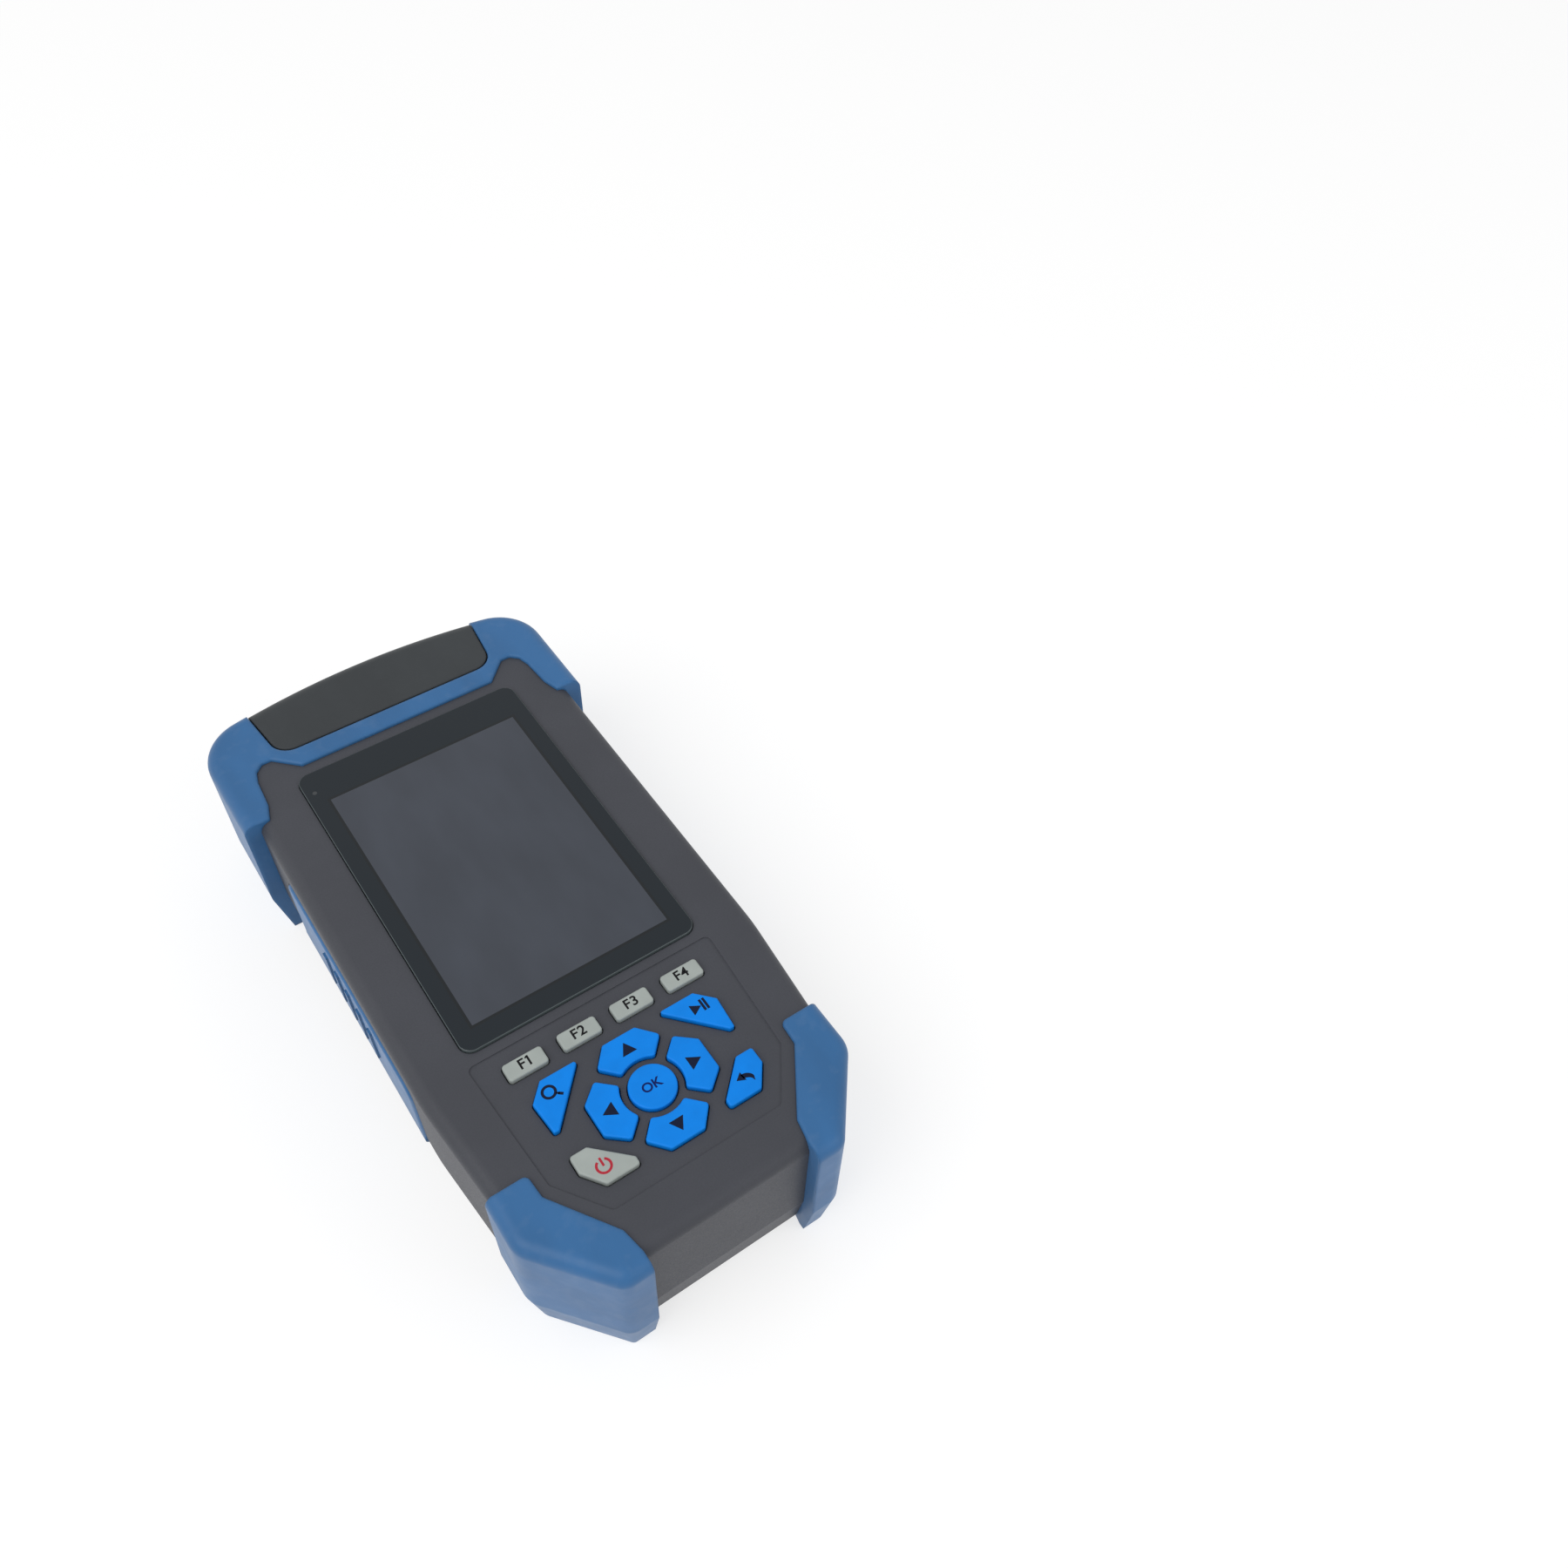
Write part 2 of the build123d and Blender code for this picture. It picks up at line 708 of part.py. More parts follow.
# Front shell
window_width = lens_width - 2 * window_side
window_length = lens_length - 2 * window_end
with BuildPart() as front_shell:
    add(housing_block)
    split(bisect_by=Plane.XY.offset(parting_z), keep=Keep.TOP)
    add(seat_cut.part, mode=Mode.SUBTRACT)
    add(prism(front_cavity_plan.sketch, parting_z - 1, panel_z), mode=Mode.SUBTRACT)
    # Bosses for the case screws
    with BuildSketch(Plane.XY.offset(parting_z)):
        with Locations(*screw_places):
            Circle(boss_radius)
    extrude(amount=panel_z - parting_z)
    with BuildSketch(Plane.XY.offset(parting_z)):
        with Locations(*screw_places):
            Circle(screw_radius + running_gap)
    extrude(amount=screw_length, mode=Mode.SUBTRACT)
    # Screen pocket and window
    with BuildSketch(Plane.XY.offset(front_z)):
        with Locations((0, screen_y)):
            RectangleRounded(lens_width + 2 * lens_clearance, lens_length + 2 * lens_clearance,
                             lens_round + lens_clearance)
    extrude(amount=lens_rise - lens_thick - gasket_thick, mode=Mode.SUBTRACT)
    with BuildSketch(Plane.XY.offset(front_z)):
        with Locations((0, screen_y - window_drop)):
            RectangleRounded(window_width, window_length, window_round)
    extrude(amount=-front_plate, mode=Mode.SUBTRACT)
    # Keypad recess and key holes
    add(prism(recess_plan, recess_z, front_z + 1), mode=Mode.SUBTRACT)
    for plan in key_plans.values():
        with BuildSketch(Plane.XY.offset(panel_z - 1)):
            add(plan)
            offset(amount=key_clearance)
        extrude(amount=front_plate + 1, mode=Mode.SUBTRACT)
    # Connector bay, and the ledge that the cap lies on
    bay_half = cap_half_low - cap_side_ledge
    bay_wall_half = cap_half_high + cap_gap
    add(prism(cap_window.sketch, cap_rest_z - cap_drop, top_z + 1), mode=Mode.SUBTRACT)
    block_between(-bay_half, bay_half, bay_back_y, crown_y, bay_floor_z, front_z, mode=Mode.SUBTRACT)
    block_between(
        -bay_wall_half, bay_wall_half, cap_axis_y - knuckle_radius, crown_y, parting_z - 1, front_z,
        mode=Mode.SUBTRACT
    )
    with BuildSketch(Plane.XZ.offset(-bay_back_y - 1)):
        with Locations(*[(x, port_z) for x in port_places]):
            Circle(port_hole_radius)
    extrude(amount=wall + port_flange_thick, mode=Mode.SUBTRACT)
    add(side_cut.part, mode=Mode.SUBTRACT)
    add(grip_cut.part, mode=Mode.SUBTRACT)
save(front_shell, "front_shell")

# Rear shell
cell_radius = (jack_back_x - cell_jack_gap) / cell_count
spool_y = screen_top_y - spool_head - spool_radius
bay_top_y = spool_y - spool_radius - battery_spool_gap - bay_wall
door_y = bay_top_y - battery_gap - cell_length / 2
bay_height = board_z - jack_height - bay_jack_gap - floor_z
stand_axis_y = screen_top_y - stand_head
stand_low_z = rear_z + stand_depth
stand_knuckle_radius = stand_thick / 2
stand_axis_z = stand_low_z + stand_knuckle_radius
stand_recess_z = stand_low_z + stand_thick + stand_gap
stand_half = side_screw_x - stand_side
stand_width = 2 * stand_half
bay_x = cell_radius * cell_count + battery_gap
bay_y = cell_length / 2 + battery_gap
door_width = 2 * (bay_x + door_ledge)
door_length = 2 * (bay_y + door_end)
door_screw_places = [(0, door_y - bay_y - door_end / 2), (0, door_y + bay_y + door_end / 2)]
stand_length = stand_axis_y - door_y - door_length / 2 - stand_door_gap

with BuildPart() as rear_shell:
    add(housing_block)
    split(bisect_by=Plane.XY.offset(parting_z), keep=Keep.BOTTOM)
    fillet(rear_shell.faces().sort_by(Axis.Z)[0].edges(), rear_edge_round)
    add(seat_cut.part, mode=Mode.SUBTRACT)
    with BuildSketch(Plane.XY.offset(bevel_z)):
        add(rear_cavity_plan.sketch)
    extrude(amount=parting_z - bevel_z, mode=Mode.SUBTRACT)
    with BuildSketch(Plane.XY.offset(bevel_z)):
        add(rear_cavity_plan.sketch)
    extrude(amount=floor_z - bevel_z, taper=bevel_angle, mode=Mode.SUBTRACT)
    # Step under the cap's hinge, and the hinge lugs on it
    block_between(
        -bay_wall_half, bay_wall_half, hinge_wall_y, crown_y, hinge_ledge_z, parting_z + 1,
        mode=Mode.SUBTRACT
    )
    for low, high in cap_lugs:
        block_between(
            low, high, hinge_wall_y - lug_seat, cap_axis_y, cap_axis_z - knuckle_radius,
            cap_axis_z + knuckle_radius
        )
        with BuildSketch(Plane.YZ.offset(low)):
            with Locations((cap_axis_y, cap_axis_z)):
                Circle(knuckle_radius)
        extrude(amount=high - low)
    with BuildSketch(Plane.YZ.offset(cap_knuckles[0][0])):
        with Locations((cap_axis_y, cap_axis_z)):
            Circle(cap_pin_radius + running_gap)
    extrude(amount=cap_knuckles[-1][1] - cap_knuckles[0][0], mode=Mode.SUBTRACT)
    # Battery bay: a low wall round the cells, open through the back
    with BuildSketch(Plane.XY.offset(floor_z)):
        with Locations((0, door_y)):
            Rectangle(2 * (bay_x + bay_wall), 2 * (bay_y + bay_wall))
            Rectangle(2 * bay_x, 2 * bay_y, mode=Mode.SUBTRACT)
    extrude(amount=bay_height)
    with BuildSketch(Plane.XY.offset(rear_z)):
        with Locations((0, door_y)):
            Rectangle(2 * bay_x, 2 * bay_y)
    extrude(amount=rear_plate, mode=Mode.SUBTRACT)
    with BuildSketch(Plane.XY.offset(rear_z)):
        with Locations((0, door_y)):
            RectangleRounded(door_width + 2 * door_gap, door_length + 2 * door_gap, door_round)
    extrude(amount=door_thick, mode=Mode.SUBTRACT)
    with BuildSketch(Plane.XY.offset(floor_z)):
        with Locations(*door_screw_places):
            Circle(door_boss_radius)
    extrude(amount=door_screw_length)
    with BuildSketch(Plane.XY.offset(rear_z)):
        with Locations(*door_screw_places):
            Circle(door_screw_radius + running_gap)
    extrude(amount=door_screw_head_height + door_screw_length + stand_gap, mode=Mode.SUBTRACT)
    # Pad over the kickstand's recess, then the recess and the sockets of its hinge
    block_between(
        -stand_half - stand_pad, stand_half + stand_pad, stand_axis_y - stand_length - finger_gap - wall,
        stand_axis_y + stand_pad, floor_z, stand_recess_z + wall
    )
    stand_recess_half = stand_half + stand_gap
    block_between(
        -stand_recess_half, stand_recess_half, stand_axis_y - stand_length - finger_gap,
        stand_axis_y + stand_knuckle_radius + stand_gap, rear_z - 1, stand_recess_z, mode=Mode.SUBTRACT
    )
    with BuildSketch(Plane.YZ.offset(-stand_half - stand_pin_length - stand_gap)):
        with Locations((stand_axis_y, stand_axis_z)):
            Circle(stand_pin_radius + running_gap)
    extrude(amount=2 * (stand_half + stand_pin_length + stand_gap), mode=Mode.SUBTRACT)
    # Bosses and wells of the case screws
    with BuildSketch(Plane.XY.offset(floor_z)):
        with Locations(*screw_places):
            Circle(boss_radius + well_wall)
    extrude(amount=parting_z - floor_z)
    with BuildSketch(Plane.XY.offset(rear_z)):
        with Locations(*screw_places):
            Circle(screw_head_radius + head_clearance)
    extrude(amount=screw_well, mode=Mode.SUBTRACT)
    with BuildSketch(Plane.XY.offset(rear_z)):
        with Locations(*screw_places):
            Circle(screw_radius + running_gap)
    extrude(amount=parting_z, mode=Mode.SUBTRACT)
    add(side_cut.part, mode=Mode.SUBTRACT)
    add(grip_cut.part, mode=Mode.SUBTRACT)
save(rear_shell, "rear_shell")

# Screen: gasket, lens and display
gasket_z = front_z + lens_rise - lens_thick - gasket_thick
with BuildPart() as lens_gasket:
    with BuildSketch(Plane.XY.offset(gasket_z)):
        with Locations((0, screen_y)):
            RectangleRounded(lens_width, lens_length, lens_round)
        with Locations((0, screen_y - window_drop)):
            Rectangle(window_width, window_length, mode=Mode.SUBTRACT)
    extrude(amount=gasket_thick)
save(lens_gasket, "lens_gasket")

with BuildPart() as screen_lens:
    with BuildSketch(Plane.XY.offset(gasket_z + gasket_thick)):
        with Locations((0, screen_y)):
            RectangleRounded(lens_width, lens_length, lens_round)
    extrude(amount=lens_thick)
    fillet(screen_lens.faces().sort_by(Axis.Z)[-1].edges(), lens_edge_round)
save(screen_lens, "screen_lens")

display_width = window_width + 2 * display_side
display_length = window_length + 2 * display_end
with BuildPart() as lcd_module:
    with BuildSketch(Plane.XY.offset(board_top_z)):
        with Locations((0, screen_y - window_drop)):
            RectangleRounded(display_width, display_length, display_round)
    extrude(amount=display_thick)
save(lcd_module, "lcd_module")

# Main board, with the key domes on it and the keypad membrane over them
board_width = lens_width - 2 * board_side
board_head_y = screen_top_y - board_head
board_foot_y = ring_low_y - board_foot
with BuildPart() as main_pcb:
    with BuildSketch(Plane.XY.offset(board_z)):
        with Locations((0, board_head_y)):
            Rectangle(board_width, board_head_y - board_foot_y, align=(Align.CENTER, Align.MAX))
        with Locations(*screw_places):
            Circle(boss_radius + board_clearance, mode=Mode.SUBTRACT)
    extrude(amount=board_thick)
    chamfer(main_pcb.edges().filter_by(Axis.Z).group_by(Axis.Y)[0], board_corner)
save(main_pcb, "main_pcb")

key_centres = {name: plan.center(CenterOf.BOUNDING_BOX) for name, plan in key_plans.items()}
with BuildPart() as key_domes:
    with BuildSketch(Plane.XY.offset(board_top_z)):
        with Locations(*[(c.X, c.Y) for c in key_centres.values()]):
            Circle(dome_radius)
    extrude(amount=dome_height, taper=dome_slope)
save(key_domes, "key_domes")

with BuildSketch() as membrane_plan:
    add(recess_plan)
    offset(amount=-membrane_inset)
with BuildPart() as keypad_membrane:
    with BuildSketch(Plane.XY.offset(board_top_z)):
        add(membrane_plan.sketch)
    extrude(amount=membrane_top_z - board_top_z)
    with BuildSketch(Plane.XY.offset(board_top_z)):
        add(membrane_plan.sketch)
        offset(amount=-membrane_rim)
    extrude(amount=membrane_lift, mode=Mode.SUBTRACT)
save(keypad_membrane, "keypad_membrane")

# Optical engine under the board, and the spool of launch fibre on the rear shell's floor
engine_end_y = screen_top_y - engine_head
engine_length = engine_end_y - door_y - cell_length / 2 - engine_battery_gap
engine_high_x = side_screw_x - boss_radius - engine_boss_gap
engine_low_x = engine_jack_gap - jack_back_x
engine_shift = (engine_low_x + engine_high_x) / 2
outlet_z = board_z - engine_thick / 2
with BuildPart() as optical_engine:
    with BuildSketch(Plane.XY.offset(board_z)):
        with Locations((engine_shift, engine_end_y)):
            Rectangle(engine_high_x - engine_low_x, engine_length, align=(Align.CENTER, Align.MAX))
    extrude(amount=-engine_thick)
    fillet(optical_engine.edges().filter_by(Axis.Z), engine_round)
    for outlet in (-1, 0, 1):
        outlet_x = engine_shift + outlet * outlet_pitch
        block_between(
            outlet_x - outlet_size / 2, outlet_x + outlet_size / 2, engine_end_y,
            engine_end_y + outlet_length, outlet_z - outlet_size / 2, outlet_z + outlet_size / 2
        )
save(optical_engine, "optical_engine")

spool_z = stand_recess_z + wall
with BuildPart() as fibre_spool:
    with BuildSketch(Plane.XY.offset(spool_z)):
        with Locations((0, spool_y)):
            Circle(spool_radius)
            Circle(spool_hub_radius - spool_hub_wall, mode=Mode.SUBTRACT)
    extrude(amount=spool_thick)
    with BuildSketch(Plane.XY.offset(spool_z + spool_rim)):
        with Locations((0, spool_y)):
            Circle(spool_radius + spool_rim)
            Circle(spool_radius - spool_rim, mode=Mode.SUBTRACT)
    extrude(amount=spool_thick - 2 * spool_rim, mode=Mode.SUBTRACT)
save(fibre_spool, "fibre_spool")

# Optical ports: a flange on the bulkhead, a barrel out of it and a sleeve for a 2.5 mm ferrule
for name, x in zip(("otdr_port", "opm_port", "vfl_port"), port_places):
    with BuildPart() as port:
        with BuildSketch(Plane.XZ.offset(-bay_back_y)):
            with Locations((x, port_z)):
                RectangleRounded(port_flange, port_flange, port_flange_round)
        extrude(amount=-port_flange_thick)
        with BuildSketch(Plane.XZ.offset(-bay_back_y)):
            with Locations((x, port_z)):
                Circle(port_barrel_radius)
        extrude(amount=-port_barrel_length)
        with BuildSketch(Plane.XZ.offset(-bay_back_y)):
            with Locations((x, port_z)):
                Circle(port_tail_radius)
        extrude(amount=wall)
        with BuildSketch(Plane.XZ.offset(-bay_back_y - port_barrel_length)):
            with Locations((x, port_z)):
                Circle(sleeve_radius)
        extrude(amount=sleeve_length, mode=Mode.SUBTRACT)
    save(port, name)

# Connector cap: an L of plate over the bay, hinged on a pin at the parting line
cap_outer = bevelled_block(head_plan.sketch, 0, 0, top_z - cap_drop, cap_edge_round)
with BuildSketch() as cap_inner_plan:
    add(head_plan.sketch)
    offset(amount=-cap_end_plate)
with BuildPart() as connector_cap:
    add(cap_outer)
    add(prism(cap_plan.sketch, cap_axis_z + cap_lip_rise, top_z + 1), mode=Mode.INTERSECT)
    add(prism(cap_inner_plan.sketch, 0, cap_rest_z), mode=Mode.SUBTRACT)
    for low, high in cap_lugs:
        block_between(
            low - knuckle_gap, high + knuckle_gap, hinge_wall_y, crown_y, cap_axis_z,
            cap_axis_z + knuckle_radius + knuckle_gap, mode=Mode.SUBTRACT
        )
    for low, high in cap_knuckles:
        with BuildSketch(Plane.YZ.offset(low)):
            with Locations((cap_axis_y, cap_axis_z)):
                Circle(knuckle_radius)
        extrude(amount=high - low)
        web_y = arc_edge(max(abs(low), abs(high)), crown_y) - cap_drop
        block_between(low, high, cap_axis_y, web_y, cap_axis_z, cap_axis_z + web_thick)
    with BuildSketch(Plane.YZ.offset(cap_knuckles[0][0])):
        with Locations((cap_axis_y, cap_axis_z)):
            Circle(cap_pin_radius + running_gap)
    extrude(amount=cap_knuckles[-1][1] - cap_knuckles[0][0], mode=Mode.SUBTRACT)
save(connector_cap, "connector_cap")

with BuildPart() as cap_hinge_pin:
    with BuildSketch(Plane.YZ.offset(cap_knuckles[0][0])):
        with Locations((cap_axis_y, cap_axis_z)):
            Circle(cap_pin_radius)
    extrude(amount=cap_knuckles[-1][1] - cap_knuckles[0][0])
save(cap_hinge_pin, "cap_hinge_pin")

# Left port panel with the two network jacks and the USB jack
jack_places = [cover_ends[1] - jack_start, cover_ends[1] - jack_start - jack_pitch]
usb_y = jack_places[1] - usb_pitch
jack_z = board_z - jack_height
with BuildPart() as left_port_panel:
    block_between(
        -side_cavity_x, -side_cavity_x + panel_thick, cover_ends[0] + panel_end_gap,
        cover_ends[1] - panel_end_gap, port_window[0] - panel_overlap, board_z + board_thick
    )
    for y in jack_places:
        block_between(
            -side_cavity_x - 1, -side_cavity_x + panel_thick + 1, y - jack_width / 2 - jack_gap,
            y + jack_width / 2 + jack_gap, jack_z - jack_gap, board_z + jack_gap, mode=Mode.SUBTRACT
        )
    block_between(
        -side_cavity_x - 1, -side_cavity_x + panel_thick + 1, usb_y - usb_width / 2 - jack_gap,
        usb_y + usb_width / 2 + jack_gap, board_z - usb_height - jack_gap, board_z + jack_gap,
        mode=Mode.SUBTRACT
    )
save(left_port_panel, "left_port_panel")

for name, y in zip(("network_jack_a", "network_jack_b"), jack_places):
    with BuildPart() as network_jack:
        block_between(
            -side_cavity_x, -side_cavity_x + jack_depth, y - jack_width / 2, y + jack_width / 2,
            jack_z, board_z
        )
        latch_z = jack_z + jack_floor
        mouth_z = latch_z + latch_height
        block_between(
            -side_cavity_x - 1, -side_cavity_x + jack_mouth_depth, y - jack_mouth_width / 2,
            y + jack_mouth_width / 2, mouth_z, mouth_z + jack_mouth_height,
            mode=Mode.SUBTRACT
        )
        block_between(
            -side_cavity_x - 1, -side_cavity_x + jack_mouth_depth, y - latch_half, y + latch_half,
            latch_z, mouth_z + 1, mode=Mode.SUBTRACT
        )
    save(network_jack, name)

with BuildPart() as usb_jack:
    block_between(
        -side_cavity_x, -side_cavity_x + usb_depth, usb_y - usb_width / 2, usb_y + usb_width / 2,
        board_z - usb_height, board_z
    )
    fillet(usb_jack.edges().filter_by(Axis.X), usb_round)
    with BuildSketch(Plane.YZ.offset(-side_cavity_x)):
        with Locations((usb_y, board_z - usb_mouth_drop)):
            SlotOverall(usb_mouth_width, usb_mouth_height)
    extrude(amount=usb_depth - usb_back, mode=Mode.SUBTRACT)
save(usb_jack, "usb_jack")

# Battery: round cells side by side in a shrink sleeve
with BuildPart() as battery_pack:
    cell_z = floor_z + cell_lift + cell_radius
    span = (cell_count - 1) * 2 * cell_radius
    with BuildSketch(Plane.XZ.offset(-door_y - cell_length / 2)):
        for cell in range(cell_count):
            with Locations(((cell - (cell_count - 1) / 2) * 2 * cell_radius, cell_z)):
                Circle(cell_radius)
        with Locations((0, cell_z)):
            Rectangle(span, 2 * (cell_radius - sleeve_dip))
    extrude(amount=cell_length)
save(battery_pack, "battery_pack")

with BuildPart() as battery_door:
    with BuildSketch(Plane.XY.offset(rear_z)):
        with Locations((0, door_y)):
            RectangleRounded(door_width, door_length, door_round)
        with Locations(*door_screw_places):
            Circle(door_screw_radius + running_gap, mode=Mode.SUBTRACT)
    extrude(amount=door_thick)
    with BuildSketch(Plane.XY.offset(rear_z)):
        with Locations(*door_screw_places):
            Circle(door_screw_head_radius + door_gap)
    extrude(amount=door_screw_head_height, mode=Mode.SUBTRACT)
save(battery_door, "battery_door")

with BuildPart() as door_screws:
    with BuildSketch(Plane.XY.offset(rear_z)):
        with Locations(*door_screw_places):
            Circle(door_screw_head_radius)
    extrude(amount=door_screw_head_height)
    with BuildSketch(Plane.XY.offset(rear_z + door_screw_head_height)):
        with Locations(*door_screw_places):
            Circle(door_screw_radius)
    extrude(amount=door_screw_length)
save(door_screws, "door_screws")

# Case screws: six alike, driven from the back
head_seat_z = rear_z + screw_well
with BuildPart() as case_screws:
    with BuildSketch(Plane.XY.offset(head_seat_z - screw_head_height)):
        with Locations(*screw_places):
            Circle(screw_head_radius)
    extrude(amount=screw_head_height)
    with BuildSketch(Plane.XY.offset(head_seat_z)):
        with Locations(*screw_places):
            Circle(screw_radius)
    extrude(amount=screw_length)
save(case_screws, "case_screws")

# Kickstand: a plate with a window, hinged on two moulded pins
stand_window_length = stand_length - 2 * stand_frame
with BuildPart() as kickstand:
    with BuildSketch(Plane.XY.offset(stand_low_z)):
        with Locations((0, stand_axis_y)):
            Rectangle(stand_width, stand_length, align=(Align.CENTER, Align.MAX))
        with Locations((0, stand_axis_y - stand_length / 2)):
            RectangleRounded(stand_window, stand_window_length, stand_window_round, mode=Mode.SUBTRACT)
    extrude(amount=stand_thick)
    with BuildSketch(Plane.YZ.offset(-stand_half)):
        with Locations((stand_axis_y, stand_axis_z)):
            Circle(stand_knuckle_radius)
    extrude(amount=stand_width)
    with BuildSketch(Plane.YZ.offset(-stand_half - stand_pin_length)):
        with Locations((stand_axis_y, stand_axis_z)):
            Circle(stand_pin_radius)
    extrude(amount=stand_width + 2 * stand_pin_length)
save(kickstand, "kickstand")
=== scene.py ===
"""Looks of a handheld optical time domain reflectometer.

Gives the solid model its finishes, and adds the print on the keys, the screws, the sleeves in the optical
ports, the contacts in the jacks, and a pale stage with lamps and a camera.
"""
import math

import bmesh
import bpy
from mathutils import Matrix, Vector


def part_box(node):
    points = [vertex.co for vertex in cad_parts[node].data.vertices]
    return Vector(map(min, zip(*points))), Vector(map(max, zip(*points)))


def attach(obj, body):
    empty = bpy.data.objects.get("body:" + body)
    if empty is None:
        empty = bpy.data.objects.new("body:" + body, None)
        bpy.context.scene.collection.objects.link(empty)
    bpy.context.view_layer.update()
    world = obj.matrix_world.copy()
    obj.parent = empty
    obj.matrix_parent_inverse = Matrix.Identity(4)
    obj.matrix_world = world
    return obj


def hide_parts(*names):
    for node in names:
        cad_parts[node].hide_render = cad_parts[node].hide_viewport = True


bl_info = {
    "name": "Optical Time Domain Reflectometer",
    "version": (1, 0, 0),
    "blender": (4, 5, 0),
    "location": "View3D > Sidebar > Reflectometer",
    "description": "Dresses the solid model of a handheld optical time domain reflectometer",
    "category": "Object",
}

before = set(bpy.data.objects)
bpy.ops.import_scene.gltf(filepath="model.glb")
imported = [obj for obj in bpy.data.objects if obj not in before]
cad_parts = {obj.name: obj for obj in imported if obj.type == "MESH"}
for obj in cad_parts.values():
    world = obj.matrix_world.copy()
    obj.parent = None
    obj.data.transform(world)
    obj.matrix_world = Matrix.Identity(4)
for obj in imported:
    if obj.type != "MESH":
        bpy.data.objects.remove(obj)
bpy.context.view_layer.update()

MM = 0.001
KEY_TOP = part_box("key_ok")[1].z
RING_MIDDLE = (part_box("key_ok")[0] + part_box("key_ok")[1]) / 2
LENS_LOW, LENS_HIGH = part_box("screen_lens")
SCREEN_Y = (LENS_LOW.y + LENS_HIGH.y) / 2

PALE_KEYS = ["key_f1", "key_f2", "key_f3", "key_f4", "key_power"]
OPTICAL_PORTS = ["otdr_port", "opm_port", "vfl_port"]
NETWORK_JACKS = ["network_jack_a", "network_jack_b"]

# Turn of the triangle on each arrow key, in degrees
ARROW_KEYS = {"key_up": 0.0, "key_left": 90.0, "key_down": 180.0, "key_right": 270.0}
# Each key's word, its share of the letter height, how much its strokes are thickened, and its letter spacing
KEY_WORDS = {
    "key_f1": ("F1", 1.0, 0.018, 1.02),
    "key_f2": ("F2", 1.0, 0.018, 1.08),
    "key_f3": ("F3", 1.0, 0.018, 1.08),
    "key_f4": ("F4", 1.0, 0.018, 1.08),
    "key_ok": ("OK", 0.92, 0.022, 1.0),
}
# Places of the symbols and of the indicator, in millimetres from the middle of the cover glass
SEARCH_PLACE = (-18.8, -63.15)
RUN_PLACE = (16.55, -63.5)
RETURN_PLACE = (17.0, -84.65)
POWER_PLACE = (-17.5, -83.65)
INDICATOR_PLACE = (-27.2, 38.9)

# Places of the screws in the back, in millimetres from the frame's origin
CASE_SCREW_PLACES = [(33.0, 49.4), (33.0, -36.6), (12.5, -80.6),
                     (-33.0, 49.4), (-33.0, -36.6), (-12.5, -80.6)]
DOOR_SCREW_PLACES = [(0.0, -60.5), (0.0, 12.3)]

# The camera's place in metres, and its own right, up and back
CAMERA_PLACE = (-0.0625, -0.1786, 0.3094)
CAMERA_RIGHT = (0.817644, -0.574517, 0.037262)
CAMERA_UP = (0.426234, 0.647578, 0.631639)
CAMERA_BACK = (-0.387017, -0.500573, 0.774367)

# Each lamp's place and width in metres, and its share of the lamp power
LAMPS = {
    "overhead_lamp": ((-0.85, -0.1, 1.05), 1.1, 1.0),
    "side_lamp": ((0.75, -0.95, 0.7), 0.9, 0.35),
}

FULL_TURN = 360.0
ROUND_SIDES = 48
MERGE_DISTANCE = 0.002 * MM
# A face looks along an axis when its normal has more than this along it
FACING = 0.9
# Edges that turn by more than this stay hard, in degrees: on print, and on small metal pieces
PRINT_ANGLE = 30.0
METAL_ANGLE = 35.0
# Ranges of noise that finishes spread out: slow drifts of colour, and fine skins and marks
SLOW_NOISE = (0.35, 0.65)
FINE_NOISE = (0.3, 0.7)
# Sockets of a colour mix: first colour, second colour and result
MIX_FIRST, MIX_SECOND, MIX_RESULT = 6, 7, 2


# Mesh helpers


def only(thing):
    """Leaves one object selected and active, in object mode."""
    if bpy.context.object and bpy.context.object.mode != "OBJECT":
        bpy.ops.object.mode_set(mode="OBJECT")
    bpy.ops.object.select_all(action="DESELECT")
    if thing is not None:
        thing.select_set(True)
        bpy.context.view_layer.objects.active = thing


def started(name):
    """Names the primitive that was just added."""
    thing = bpy.context.object
    thing.name = name
    thing.data.name = name
    return thing


def settled(thing):
    """Puts a piece's place, turn and size into its mesh."""
    only(thing)
    bpy.ops.object.transform_apply(location=True, rotation=True, scale=True)
    return thing


def apply_modifiers(thing):
    """Applies all of a piece's modifiers, in their order."""
    only(thing)
    for modifier in list(thing.modifiers):
        bpy.ops.object.modifier_apply(modifier=modifier.name)


def select_faces(thing, test):
    """In edit mode, selects the faces whose middle and normal pass the test."""
    bpy.ops.mesh.select_mode(type="FACE")
    bpy.ops.mesh.select_all(action="DESELECT")
    mesh = bmesh.from_edit_mesh(thing.data)
    for face in mesh.faces:
        face.select_set(test(thing.matrix_world @ face.calc_center_median(), face.normal))
    bmesh.update_edit_mesh(thing.data)


def joined(name, pieces):
    """Makes one piece of several, and names it."""
    only(pieces[0])
    for piece in pieces[1:]:
        piece.select_set(True)
    if len(pieces) > 1:
        bpy.ops.object.join()
    return started(name)


def copied(thing, moves):
    """Copies of a piece, each with its own mesh, at each move from where it is."""
    copies = []
    for move in moves:
        only(thing)
        bpy.ops.object.duplicate(linked=False)
        bpy.ops.transform.translate(value=move)
        copies.append(settled(bpy.context.object))
    only(thing)
    bpy.ops.object.delete()
    return copies


